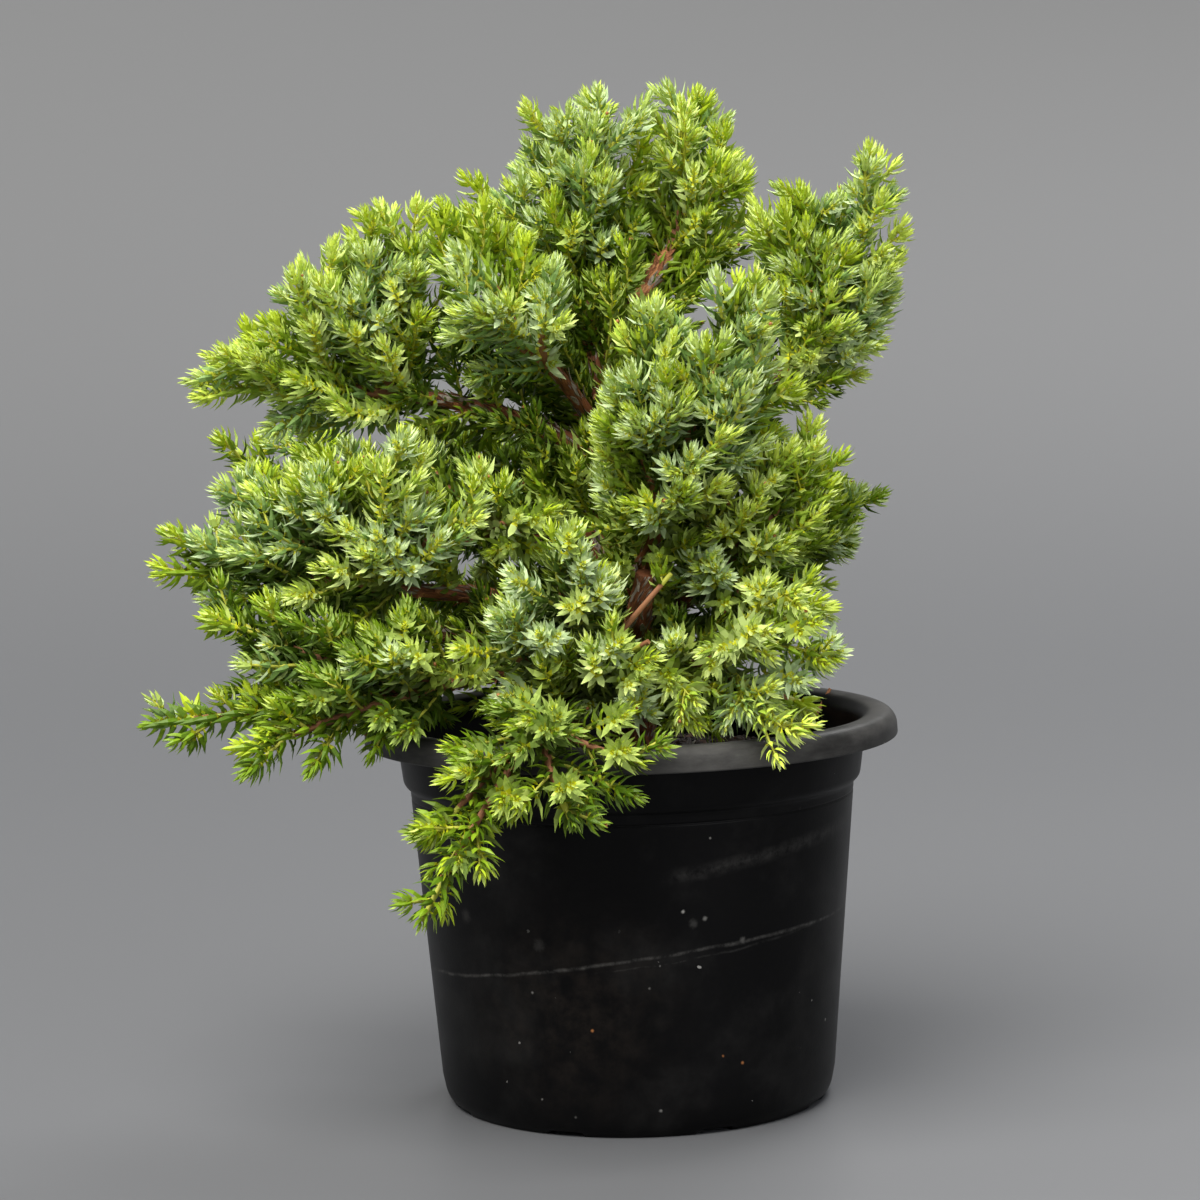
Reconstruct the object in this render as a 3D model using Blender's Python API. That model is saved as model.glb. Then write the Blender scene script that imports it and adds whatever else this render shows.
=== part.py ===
"""A dwarf creeping juniper in a plastic nursery pot.

Metres, +Z up. The origin is the middle of the pot's flat underside, and the crown leans out over the pot's
left and front, which are -X and -Y. Every limb and foliage mass is worked out from the named sizes below.
"""

import math
import random

import bmesh
import bpy
import numpy as np
from mathutils import Matrix, Quaternion, Vector

MM = 0.001
CLEAR = 0.3 * MM  # between pieces that touch on the real plant

# Pot: radii and heights of its turned wall
POT_SEGMENTS = 32
POT_HEIGHT = 94.5 * MM
FOOT_RADIUS = 45.8 * MM
WALL_FOOT_RADIUS = 48.2 * MM
WALL_TOP_RADIUS = 54.1 * MM
WALL_TOP = 76.5 * MM
NECK_RADIUS = 57.2 * MM
RIM_RADIUS = 65.0 * MM
RIM_SKIRT = 6.0 * MM
RIM_ROLL = 2.2 * MM
WALL = 1.3 * MM
FLOOR = 2.2 * MM
FOOT_CORNER = 6.0 * MM
DRAIN_NOTCHES = 8
DRAIN_WIDTH = 8.0 * MM
DRAIN_HEIGHT = 3.2 * MM
DRAIN_INNER_RADIUS = 41.0 * MM

# Soil
SOIL_TOP = 82.2 * MM
SOIL_RELIEF = 1.0 * MM
SOIL_FLAT_RADIUS = 14.0 * MM

# Trunk: its foot is at the soil, and it leans right and back with a bow to the left and front
TRUNK_HEIGHT = 122.5 * MM
TRUNK_LEAN = (12.0 * MM, 38.0 * MM)
TRUNK_SWAY = 25.0 * MM
TRUNK_BOW = 10.0 * MM
TRUNK_FOOT_RADIUS = 5.2 * MM
TRUNK_TIP_RADIUS = 1.8 * MM
ROOT_FLARE = 3.0 * MM
TRUNK_RINGS = 13
TRUNK_SIDES = 8
BOUGH_SIDES = 6
BOUGH_RINGS = 5
BOUGH_TIP_RADIUS = 1.6 * MM

# Boughs: share of the trunk's height, then azimuth and rise in degrees, length and bow in mm, root radius in mm
BOUGHS = {
    "top": (0.72, 103, 57, 23, 1.0, 2.2),
    "right_head": (0.50, 21, 32, 60, 3.0, 2.8),
    "upper_left": (0.60, -177, 21, 45, 3.0, 2.8),
    "middle_left": (0.66, -129, 43, 22, 1.0, 2.0),
    "inner_left": (0.45, -158, 8, 24, 1.0, 2.2),
    "lower_left": (0.25, -155, 15, 58, 3.0, 2.9),
    "low_left": (0.13, -138, 9, 57, 4.0, 2.6),
    "left_under": (0.17, 167, 10, 61, 3.0, 2.5),
    "front_hang": (0.07, -110, 10, 56, 5.0, 2.6),
    "front_middle": (0.20, -104, 4, 33, 1.5, 2.2),
    "centre": (0.31, -71, 35, 36, -2.0, 2.8),
    "right_front": (0.24, -49, 26, 30, 1.0, 2.4),
    "right_rim": (0.15, -72, 14, 37, 2.0, 2.0),
    "right_back": (0.28, 48, 10, 58, 3.0, 2.5),
    "left_back": (0.40, 145, 9, 69, 3.0, 2.5),
    "right_middle": (0.42, 66, 24, 36, 2.0, 2.3),
    "back_high": (0.53, 99, 28, 35, 2.0, 2.4),
    "back_middle": (0.36, 104, 14, 49, 3.0, 2.5),
    "back_low": (0.18, 106, 6, 50, 4.0, 2.4),
}

# Foliage: each mass is a few fans from one bough's tip, or from the trunk's tip.
# A fan is azimuth and rise in degrees, then the reach of its needles and its half width in mm.
MASSES = {
    "top": [(60, 75, 59, 20), (159, 44, 48, 15), (139, 77, 56, 14)],
    "top_right": [(55, 74, 45, 18), (24, 56, 33, 11)],
    "right_head": [(12, 65, 60, 13), (91, 87, 46, 14), (11, 39, 27, 14)],
    "upper_left": [(168, 82, 49, 18), (-165, 50, 47, 17), (179, 10, 58, 17), (-172, 1, 42, 13)],
    "middle_left": [(164, 57, 48, 16), (-162, 30, 30, 13), (-93, 39, 23, 10)],
    "inner_left": [(170, 40, 34, 14), (-175, -25, 30, 13), (-80, 10, 26, 12)],
    "lower_left": [(-94, 76, 41, 13), (-168, 51, 38, 17), (159, 8, 66, 15), (167, 33, 51, 14), (-28, 44, 36, 10)],
    "low_left": [(163, -8, 82, 8), (-171, -16, 55, 11), (-157, 27, 24, 17), (168, 17, 68, 14)],
    "left_under": [(163, -24, 47, 15), (-146, -29, 20, 12)],
    "front_hang": [(-135, -45, 63, 9), (-144, -36, 48, 11), (-80, -35, 41, 12), (-39, -18, 35, 13)],
    "front_middle": [(-109, 50, 46, 17), (-136, 14, 42, 16), (-62, 18, 38, 16), (-25, 48, 38, 13)],
    "centre": [(-105, 79, 55, 14), (-4, 69, 66, 14), (-130, 67, 39, 9), (2, 48, 48, 11)],
    "right_front": [(-17, 63, 46, 12), (-3, 50, 51, 11), (-23, -8, 36, 12), (-86, 65, 32, 12)],
    "right_rim": [(-2, -18, 37, 8), (-30, 14, 36, 14), (-115, 0, 23, 12)],
    "right_back": [(26, 29, 35, 12), (21, -48, 24, 11), (75, 6, 46, 15), (60, 58, 34, 13)],
    "left_back": [(154, 17, 53, 12), (148, 36, 33, 12), (174, -11, 40, 13)],
    "right_middle": [(72, 40, 44, 16), (18, 22, 36, 13), (112, 22, 38, 14)],
    "back_high": [(108, 48, 47, 20), (41, 44, 47, 17), (158, 32, 51, 17)],
    "back_middle": [(91, 19, 43, 20), (146, 23, 52, 18), (44, 11, 49, 18)],
    "back_low": [(90, -19, 48, 18), (145, 8, 48, 19), (40, 10, 42, 15)],
}

# Growth rule
GOLDEN = 137.5
STEM_TIP_RADIUS = 0.7 * MM
STEM_RINGS = 5
STEM_SIDES = 3
STEM_TWIST = 0.7  # radians from each stem to the next, so that their sides cross where they meet
FAN_END = 0.55  # width at a fan's foot and end, as a share of its half width
FIRST_SHOOT = 0.20
LAST_SHOOT = 0.94
SHOOT_SPACING = 10.0 * MM
SHOOT_SPLAY = (72.0, 38.0)  # degrees off the stem, at its foot and near its tip
SHOOT_LIFT = 0.20  # how far shoots turn up
SHORTEST_SHOOT = 8.0 * MM
LONGEST_SHOOT = 30.0 * MM
HIDDEN_SHOOT = 4.0 * MM  # a shoot whose tip lies deeper than this in the crown is left out
BUD_LENGTH = 12.0 * MM
BUD_RADIUS = 3.0 * MM
BUD_SIDES = 4
NEEDLE_LENGTH = 6.5 * MM
NEEDLE_SPLAY = 42.0
NEEDLE_OVERHANG = 1.5 * MM  # how far needles may stand out of their mass's space
CORE_SIDES = 5
CORE_RINGS = 4
CORE_START = 4.2 * MM  # off the limb's tip
CORE_DEPTH = 4.0 * MM  # how far the shoots stand out of a fan's core
BETWEEN_MASSES = 0.9 * MM
CORE_BETWEEN = 2.4 * MM
OFF_LIMBS = 0.8 * MM
OFF_POT = 1.2 * MM
EDGE_TESTS = (0.33, 0.67)  # places along each edge that have to be in free space
FACES_KEPT = (0.50, 0.52, 0.48, 0.54, 0.46, 0.56, 0.60, 0.65, 0.70, 0.80)  # shares of a mass's facets to try

# Colours: linear base colour and roughness
BLACK_PLASTIC = ((0.012, 0.012, 0.013), 0.45)
PEAT = ((0.030, 0.018, 0.010), 0.95)
BARK = ((0.115, 0.045, 0.022), 0.85)
DEEP_GREEN = (0.065, 0.150, 0.030)
YOUNG_GREEN = (0.210, 0.330, 0.050)


def clear_scene():
    for obj in list(bpy.data.objects):
        bpy.data.objects.remove(obj)


def material(name, colour, roughness):
    made = bpy.data.materials.new(name)
    made.use_nodes = True
    shader = made.node_tree.nodes["Principled BSDF"]
    shader.inputs["Base Color"].default_value = (*colour, 1.0)
    shader.inputs["Roughness"].default_value = roughness
    shader.inputs["Metallic"].default_value = 0.0
    made.diffuse_color = (*colour, 1.0)
    return made


def add_object(name, mesh, collection=None):
    obj = bpy.data.objects.new(name, mesh)
    (collection or bpy.context.scene.collection).objects.link(obj)
    return obj


def apply_modifiers(obj):
    """The object's mesh as its modifiers leave it, with the modifiers gone."""
    graph = bpy.context.evaluated_depsgraph_get()
    mesh = bpy.data.meshes.new_from_object(obj.evaluated_get(graph))
    old = obj.data
    obj.modifiers.clear()
    obj.data = mesh
    bpy.data.meshes.remove(old)


def shade_smooth(obj):
    obj.data.polygons.foreach_set("use_smooth", [True] * len(obj.data.polygons))


# Paths


def heading(azimuth, rise):
    a = math.radians(azimuth)
    r = math.radians(rise)
    return Vector((math.cos(a) * math.cos(r), math.sin(a) * math.cos(r), math.sin(r)))


def arc(start, middle, end, count):
    """Points along the smooth curve from start to end that leaves start towards middle."""
    points = []
    for i in range(count):
        t = i / (count - 1)
        points.append((1 - t) ** 2 * start + 2 * t * (1 - t) * middle + t**2 * end)
    return points


def trunk_point(share):
    side = math.sin(math.pi * share)
    return Vector((
        TRUNK_LEAN[0] * share - TRUNK_SWAY * share * side,
        TRUNK_LEAN[1] * share**2 - TRUNK_BOW * side,
        SOIL_TOP + CLEAR + TRUNK_HEIGHT * share,
    ))


def trunk_radius(share):
    taper = TRUNK_FOOT_RADIUS + (TRUNK_TIP_RADIUS - TRUNK_FOOT_RADIUS) * share**0.9
    return taper + ROOT_FLARE * math.exp(-share / 0.035)


def trunk_path():
    """Points and radii, closer together in the root flare."""
    shares = [(i / (TRUNK_RINGS - 1)) ** 1.3 for i in range(TRUNK_RINGS)]
    return [trunk_point(s) for s in shares], [trunk_radius(s) for s in shares]


def bough_path(name):
    at, azimuth, rise, length, bow, radius = BOUGHS[name]
    root = trunk_point(at)
    tip = root + heading(azimuth, rise) * length * MM
    middle = (root + tip) / 2 + Vector((0, 0, 2 * bow * MM))
    points = arc(root, middle, tip, BOUGH_RINGS)
    last = BOUGH_RINGS - 1
    radii = [radius * MM + (BOUGH_TIP_RADIUS - radius * MM) * i / last for i in range(BOUGH_RINGS)]
    return points, radii


def stem_path(name, number):
    """A fan's stem, from just clear of its limb's tip, along the limb at first and then out to the fan's end."""
    azimuth, rise, reach, half_width = MASSES[name][number]
    points, radii = bough_path(name) if name in BOUGHS else trunk_path()
    onward = (points[-1] - points[-2]).normalized()
    root = points[-1] + onward * (CLEAR + number * 0.5 * MM)
    way = heading(azimuth, rise)
    end = points[-1] + way * (reach - FAN_END * half_width) * MM
    middle = root + (onward * 0.6 + way * 0.4) * reach * 0.4 * MM
    path = [root] + arc(root + onward * MM, middle, end, STEM_RINGS)
    thick = radii[-1] - number * 0.12 * MM
    return path, [thick + (STEM_TIP_RADIUS - thick) * i / STEM_RINGS for i in range(STEM_RINGS + 1)]


def fan_width(name, number, share):
    """Half width of a fan's space along its stem."""
    return MASSES[name][number][3] * MM * (FAN_END + (1 - FAN_END) * math.sin(math.pi * share**0.8))


# Space that each mass keeps to: balls strung along its stems, clear of every limb, the pot and the soil

def strung_balls(points, radii, step):
    centres = []
    sizes = []
    for (a, ra), (b, rb) in zip(zip(points, radii), zip(points[1:], radii[1:])):
        count = max(2, math.ceil((b - a).length / step))
        for i in range(count + 1):
            t = i / count
            centres.append(a.lerp(b, t))
            sizes.append(ra + (rb - ra) * t)
    return np.array(centres), np.array(sizes)


def fan_balls(name, number):
    points, _ = stem_path(name, number)
    last = len(points) - 1
    widths = [fan_width(name, number, i / last) for i in range(len(points))]
    return strung_balls(points, widths, 3 * MM)


def mass_balls(name):
    parts = [fan_balls(name, number) for number in range(len(MASSES[name]))]
    return np.concatenate([p[0] for p in parts]), np.concatenate([p[1] for p in parts])


def limb_balls():
    parts = [strung_balls(*trunk_path(), 1.5 * MM)]
    parts += [strung_balls(*bough_path(name), 1.5 * MM) for name in BOUGHS]
    return np.concatenate([p[0] for p in parts]), np.concatenate([p[1] for p in parts])


def depth(points, balls):
    """How far each point lies outside the balls, below zero inside them."""
    centres, sizes = balls
    away = np.linalg.norm(points[:, None, :] - centres[None, :, :], axis=2)
    return (away - sizes).min(axis=1)


def clear_of_pot(points, gap):
    across = np.hypot(points[:, 0], points[:, 1])
    high = points[:, 2]
    beside_rim = high > POT_HEIGHT - 18 * MM
    outer = np.where(beside_rim, RIM_RADIUS, WALL_TOP_RADIUS) + gap
    above = high > POT_HEIGHT + gap
    outside = (across > outer) & (high > gap)
    inside = (across < NECK_RADIUS - 2 * WALL - gap) & (high > SOIL_TOP + SOIL_RELIEF + gap)
    return above | outside | inside


class Crown:
    def __init__(self):
        self.masses = {name: mass_balls(name) for name in MASSES}
        self.limbs = limb_balls()

    def room(self, name, points, gap=BETWEEN_MASSES):
        """For each point, whether it lies in the mass's own space, nearer to it than to any other, off every limb."""
        points = np.array(points)
        own = depth(points, self.masses[name])
        free = (own < NEEDLE_OVERHANG) & clear_of_pot(points, OFF_POT) & (depth(points, self.limbs) > OFF_LIMBS)
        for other, balls in self.masses.items():
            if other != name:
                free &= depth(points, balls) - own > gap
        return free

    def has_room(self, name, points, gap=BETWEEN_MASSES):
        return bool(self.room(name, points, gap).all())


# Solids


def tapered(points, radii, sides, twist=0.0):
    """A closed tapering tube of flat-sided rings along the points, where a radius of 0 makes a point."""
    bm = bmesh.new()
    frame = Quaternion()
    facing = Vector((0, 0, 1))
    rings = []
    for i, (point, radius) in enumerate(zip(points, radii)):
        way = (points[min(i + 1, len(points) - 1)] - points[max(i - 1, 0)]).normalized()
        frame = facing.rotation_difference(way) @ frame
        facing = way
        if radius == 0:
            rings.append([bm.verts.new(point)])
            continue
        ring = []
        for j in range(sides):
            turn = 2 * math.pi * j / sides + twist
            ring.append(bm.verts.new(point + frame @ Vector((math.cos(turn), math.sin(turn), 0)) * radius))
        rings.append(ring)
    for low, high in zip(rings, rings[1:]):
        for j in range(sides):
            k = (j + 1) % sides
            corners = [low[j % len(low)], low[k % len(low)], high[k % len(high)], high[j % len(high)]]
            bm.faces.new(dict.fromkeys(corners))
    for ring, backwards in ((rings[0], True), (rings[-1], False)):
        if len(ring) > 1:
            bm.faces.new(ring[::-1] if backwards else ring)
    mesh = bpy.data.meshes.new("tapered")
    bm.to_mesh(mesh)
    bm.free()
    return mesh


def turned(name, profile, segments):
    """A closed solid of revolution from a profile of (radius, height) pairs that starts and ends on the axis."""
    bm = bmesh.new()
    verts = [bm.verts.new((radius, 0, height)) for radius, height in profile]
    edges = [bm.edges.new(pair) for pair in zip(verts, verts[1:])]
    bmesh.ops.spin(
        bm, geom=verts + edges, cent=(0, 0, 0), axis=(0, 0, 1), angle=2 * math.pi, steps=segments, use_merge=True
    )
    bmesh.ops.remove_doubles(bm, verts=bm.verts, dist=0.01 * MM)
    bmesh.ops.recalc_face_normals(bm, faces=bm.faces)
    mesh = bpy.data.meshes.new(name)
    bm.to_mesh(mesh)
    bm.free()
    return mesh


def boolean(obj, operation, other=None, collection=None, solver="EXACT"):
    modifier = obj.modifiers.new(operation.lower(), "BOOLEAN")
    modifier.operation = operation
    modifier.solver = solver
    if collection:
        modifier.operand_type = "COLLECTION"
        modifier.collection = collection
    else:
        modifier.object = other
    apply_modifiers(obj)


def split_faces(mesh):
    """The mesh with each face cut into triangles, which are flat."""
    bm = bmesh.new()
    bm.from_mesh(mesh)
    bmesh.ops.triangulate(bm, faces=bm.faces)
    bm.to_mesh(mesh)
    bm.free()
    return mesh


def is_closed(mesh):
    """Whether each edge joins just two faces, and each corner is one fan of them."""
    bm = bmesh.new()
    bm.from_mesh(mesh)
    closed = all(edge.is_manifold for edge in bm.edges) and all(vert.is_manifold for vert in bm.verts)
    bm.free()
    return closed


def thin_out(obj):
    """Joins small facets left where pieces cross, by the first share that leaves the surface closed, if one does."""
    joined = split_faces(obj.data).copy()
    for kept in FACES_KEPT:
        modifier = obj.modifiers.new("thin_out", "DECIMATE")
        modifier.ratio = kept
        apply_modifiers(obj)
        if is_closed(obj.data):
            return
        obj.data = joined.copy()


def keep_largest(obj):
    """Drops loose scraps and the skins of sealed hollows."""
    bm = bmesh.new()
    bm.from_mesh(obj.data)
    left = set(bm.verts)
    bodies = []
    while left:
        body = set()
        edge = [left.pop()]
        while edge:
            vert = edge.pop()
            body.add(vert)
            for link in vert.link_edges:
                other = link.other_vert(vert)
                if other in left:
                    left.remove(other)
                    edge.append(other)
        bodies.append(body)
    bodies.sort(key=len)
    for body in bodies[:-1]:
        bmesh.ops.delete(bm, geom=list(body), context="VERTS")
    bm.to_mesh(obj.data)
    bm.free()


# Pot and soil


def wall_radius(height):
    """Outer radius of the straight wall."""
    share = (height - FOOT_CORNER) / (WALL_TOP - FOOT_CORNER)
    return WALL_FOOT_RADIUS + (WALL_TOP_RADIUS - WALL_FOOT_RADIUS) * share


def pot_profile():
    rim_under = POT_HEIGHT - RIM_ROLL - WALL
    skirt = POT_HEIGHT - RIM_SKIRT
    outside = [
        (0, 0),
        (DRAIN_INNER_RADIUS, 0),
        (FOOT_RADIUS, 0),
        (FOOT_RADIUS + 1.6 * MM, 2.4 * MM),
        (WALL_FOOT_RADIUS, FOOT_CORNER),
        (WALL_TOP_RADIUS, WALL_TOP),
        (NECK_RADIUS - 1.4 * MM, WALL_TOP + 1.2 * MM),
        (NECK_RADIUS, rim_under - 3 * MM),
        (NECK_RADIUS, rim_under),
        (RIM_RADIUS - 2.2 * MM, rim_under - 0.6 * MM),
        (RIM_RADIUS - 1.4 * MM, skirt),
    ]
    rim = [
        (RIM_RADIUS, skirt),
        (RIM_RADIUS - 0.2 * MM, POT_HEIGHT - 2.4 * MM),
        (RIM_RADIUS - 1.8 * MM, POT_HEIGHT - 0.3 * MM),
        (NECK_RADIUS + 3 * MM, POT_HEIGHT),
        (NECK_RADIUS, POT_HEIGHT - 0.7 * MM),
        (NECK_RADIUS - WALL, POT_HEIGHT - 3 * MM),
    ]
    inside = [
        (NECK_RADIUS - WALL, rim_under - 3 * MM),
        (WALL_TOP_RADIUS - WALL, WALL_TOP),
        (WALL_FOOT_RADIUS - WALL, FOOT_CORNER),
        (FOOT_RADIUS - WALL, FLOOR),
        (0, FLOOR),
    ]
    return outside + rim + inside


def make_pot():
    pot = add_object("pot", turned("pot", pot_profile(), POT_SEGMENTS))
    long = 2 * (FOOT_RADIUS + 6 * MM - DRAIN_INNER_RADIUS)
    middle = DRAIN_INNER_RADIUS + 1 * MM + long / 2
    cutters = bpy.data.collections.new("drain_cutters")
    for i in range(DRAIN_NOTCHES):
        turn = Matrix.Rotation(2 * math.pi * (i + 0.5) / DRAIN_NOTCHES, 4, "Z")
        size = Matrix.Diagonal((long, DRAIN_WIDTH, 2 * (FLOOR - 1.0 * MM), 1))
        bm = bmesh.new()
        bmesh.ops.create_cube(bm, size=1, matrix=turn @ Matrix.Translation((middle, 0, 0)) @ size)
        mesh = bpy.data.meshes.new("drain_cutter")
        bm.to_mesh(mesh)
        bm.free()
        add_object(f"drain_cutter_{i}", mesh, cutters)
    boolean(pot, "DIFFERENCE", collection=cutters)
    for obj in list(cutters.objects):
        bpy.data.objects.remove(obj)
    bpy.data.collections.remove(cutters)
    pot.data.materials.append(material("black_plastic", *BLACK_PLASTIC))
    return pot


def make_soil():
    profile = [
        (0, FLOOR + CLEAR),
        (FOOT_RADIUS - WALL - 1.0 * MM, FLOOR + CLEAR),
        (WALL_FOOT_RADIUS - WALL - CLEAR, FOOT_CORNER + CLEAR),
        (WALL_TOP_RADIUS - WALL - CLEAR, WALL_TOP),
        (NECK_RADIUS - 4 * MM, SOIL_TOP - 1.0 * MM),
        (NECK_RADIUS * 0.6, SOIL_TOP + 0.2 * MM),
        (SOIL_FLAT_RADIUS, SOIL_TOP),
        (0, SOIL_TOP),
    ]
    mesh = turned("soil", profile, POT_SEGMENTS)
    shaker = random.Random("soil")
    for vert in mesh.vertices:
        across = math.hypot(vert.co.x, vert.co.y)
        if vert.co.z > SOIL_TOP - 2 * MM and across > SOIL_FLAT_RADIUS + MM:
            vert.co.z += shaker.uniform(-1, 1) * SOIL_RELIEF
    soil = add_object("soil", mesh)
    soil.data.materials.append(material("peat", *PEAT))
    return soil


# Limbs


def make_trunk():
    trunk = add_object("trunk", tapered(*trunk_path(), TRUNK_SIDES))
    for vert in trunk.data.vertices[:TRUNK_SIDES]:
        vert.co.z = trunk_point(0).z
    trunk.data.materials.append(material("bark_trunk", *BARK))
    shade_smooth(trunk)
    return trunk


def make_bough(name):
    """One tapering limb, its root hollowed to follow the trunk a little clear of it."""
    bough = add_object("bough_" + name, tapered(*bough_path(name), BOUGH_SIDES))
    points, radii = trunk_path()
    core = add_object("trunk_clearance", tapered(points, [r + CLEAR for r in radii], TRUNK_SIDES))
    boolean(bough, "DIFFERENCE", other=core)
    bpy.data.objects.remove(core)
    keep_largest(bough)
    bough.data.materials.append(material("bark_" + name, *BARK))
    shade_smooth(bough)
    return bough


# Foliage


def point_along(path, share):
    place = share * (len(path) - 1)
    i = min(int(place), len(path) - 2)
    return path[i].lerp(path[i + 1], place - i), (path[i + 1] - path[i]).normalized()


def across(way, turn):
    """Unit vector at right angles to way, turned round it by so many degrees from the upper side."""
    side = way.cross(Vector((0, 0, 1)))
    if side.length < 0.1:
        side = way.cross(Vector((0, 1, 0)))
    side.normalize()
    return Quaternion(way, math.radians(turn)) @ side


def fan_shoots(name, number):
    """Place and direction of each shoot on a fan's stem, the last one ending the stem."""
    path, _ = stem_path(name, number)
    reach = MASSES[name][number][2] * MM
    count = max(3, round(reach / SHOOT_SPACING))
    for k in range(count):
        dice = random.Random(f"{name} {number} {k}")
        share = FIRST_SHOOT + (LAST_SHOOT - FIRST_SHOOT) * k / (count - 1)
        place, way = point_along(path, share)
        splay = math.radians(SHOOT_SPLAY[0] + (SHOOT_SPLAY[1] - SHOOT_SPLAY[0]) * share + dice.uniform(-6, 6))
        side = across(way, k * GOLDEN + number * 60 + dice.uniform(-15, 15))
        out = way * math.cos(splay) + side * math.sin(splay) + Vector((0, 0, SHOOT_LIFT))
        yield place, out.normalized()
    place, way = point_along(path, 0.8)
    yield place, way


def room_along(crown, name, start, way):
    """How far a shoot can run from start before it leaves the mass's space."""
    steps = np.arange(4 * MM, LONGEST_SHOOT, MM)
    free = crown.room(name, [start + way * float(step) for step in steps])
    blocked = np.flatnonzero(~free)
    return float(steps[blocked[0]] if len(blocked) else steps[-1])


def between(a, b, shares):
    return [a.lerp(b, share) for share in shares]


def edge_points(mesh):
    """Points on each edge, to test the edges as well as the corners."""
    corners = [vert.co for vert in mesh.vertices]
    return [point for a, b in mesh.edge_keys for point in between(corners[a], corners[b], EDGE_TESTS)]


def add_needles(crown, name, mesh, way):
    """Draws each long side face of a bud out to a needle's point, where there is room for one."""
    splay = math.radians(NEEDLE_SPLAY)
    bm = bmesh.new()
    bm.from_mesh(mesh)
    for face in [face for face in bm.faces if len(face.verts) == 4]:
        root = face.calc_center_median()
        out = face.normal - way * face.normal.dot(way)
        needle = way * math.cos(splay) + out.normalized() * math.sin(splay)
        tip = root + needle * NEEDLE_LENGTH
        if crown.has_room(name, between(root, tip, (0.4, 0.7, 1.0))):
            poked = bmesh.ops.poke(bm, faces=[face])
            poked["verts"][0].co = tip
    bm.to_mesh(mesh)
    bm.free()


def fitted_spray(crown, name, start, way):
    """The longest spray that keeps to the mass's space and shows at its surface, or None: a bud on a slim shoot."""
    length = room_along(crown, name, start, way)
    while length >= SHORTEST_SHOOT:
        if depth(np.array([start + way * length]), crown.masses[name])[0] < -HIDDEN_SHOOT:
            return None
        bud = min(BUD_LENGTH, length * 0.6)
        full = BUD_RADIUS * bud / BUD_LENGTH
        axis = [start, start + way * (length - bud), start + way * (length - 0.4 * bud), start + way * length]
        mesh = tapered(axis, [0, full * 0.8, full, 0], BUD_SIDES)
        corners = [vert.co.copy() for vert in mesh.vertices]
        if crown.has_room(name, corners[1:] + edge_points(mesh)[len(EDGE_TESTS):]):
            add_needles(crown, name, mesh, way)
            return mesh
        bpy.data.meshes.remove(mesh)
        length -= MM
    return None


def fan_core(crown, name, number):
    """A body round a fan's stem that its shoots stand out of, drawn in corner by corner to the mass's space."""
    path, _ = stem_path(name, number)
    first = max(0.1, CORE_START / (path[-1] - path[0]).length)
    shares = [first + (0.97 - first) * i / (CORE_RINGS + 1) for i in range(CORE_RINGS + 2)]
    points = [point_along(path, share)[0] for share in shares]
    wide = [max(2 * MM, fan_width(name, number, share) - CORE_DEPTH) for share in shares[1:-1]]
    mesh = tapered(points, [0, *wide, 0], CORE_SIDES)
    axis = {i: points[1 + (i - 1) // CORE_SIDES] for i in range(1, len(mesh.vertices) - 1)}
    for _ in range(16):
        tight = {i for i in axis if not crown.has_room(name, [mesh.vertices[i].co], CORE_BETWEEN)}
        for a, b in mesh.edge_keys:
            along = between(mesh.vertices[a].co, mesh.vertices[b].co, EDGE_TESTS)
            if not crown.has_room(name, along, CORE_BETWEEN):
                tight |= {a, b} & set(axis)
        if not tight:
            return mesh
        for i in tight:
            mesh.vertices[i].co = axis[i].lerp(mesh.vertices[i].co, 0.85)
    bpy.data.meshes.remove(mesh)
    return None


def make_mass(crown, name, tint):
    """Stems, sprays and needles of all the fans, joined into one solid."""
    pieces = bpy.data.collections.new("pieces_" + name)
    fans = range(len(MASSES[name]))
    stems = [tapered(*stem_path(name, number), STEM_SIDES, STEM_TWIST * number) for number in fans]
    cores = [fan_core(crown, name, number) for number in fans]
    shoots = [shoot for number in fans for shoot in fan_shoots(name, number)]
    sprays = [fitted_spray(crown, name, start, way) for start, way in shoots]
    body = add_object("foliage_" + name, split_faces(stems[0]))
    for mesh in stems[1:] + cores + sprays:
        if mesh:
            add_object("piece", split_faces(mesh), pieces)
    boolean(body, "UNION", collection=pieces)
    thin_out(body)
    keep_largest(body)
    for obj in list(pieces.objects):
        bpy.data.objects.remove(obj)
    bpy.data.collections.remove(pieces)
    green = tuple(a + (b - a) * tint for a, b in zip(DEEP_GREEN, YOUNG_GREEN))
    body.data.materials.append(material("needles_" + name, green, 0.6))
    return body


def main():
    clear_scene()
    make_pot()
    make_soil()
    make_trunk()
    for name in BOUGHS:
        make_bough(name)
    crown = Crown()
    for number, name in enumerate(MASSES):
        make_mass(crown, name, tint=number * 0.37 % 1.0)


main()
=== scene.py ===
"""The looks of a dwarf creeping juniper in a plastic nursery pot.

Metres, +Z up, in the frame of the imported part. The growth values and the growth rule are the ones that the
solids follow, carried on here to side twigs, needles in threes, bark and crumbs of soil.
"""

import math
import random

import bmesh
import bpy
import numpy as np
from mathutils import Matrix, Quaternion, Vector, noise


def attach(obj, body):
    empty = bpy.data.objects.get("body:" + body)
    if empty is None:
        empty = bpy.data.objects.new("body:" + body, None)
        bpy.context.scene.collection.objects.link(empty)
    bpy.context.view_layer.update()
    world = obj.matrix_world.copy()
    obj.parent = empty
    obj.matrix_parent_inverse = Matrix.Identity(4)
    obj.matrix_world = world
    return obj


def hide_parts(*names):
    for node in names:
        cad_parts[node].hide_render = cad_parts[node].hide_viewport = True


MM = 0.001
BODY = "root"

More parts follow.
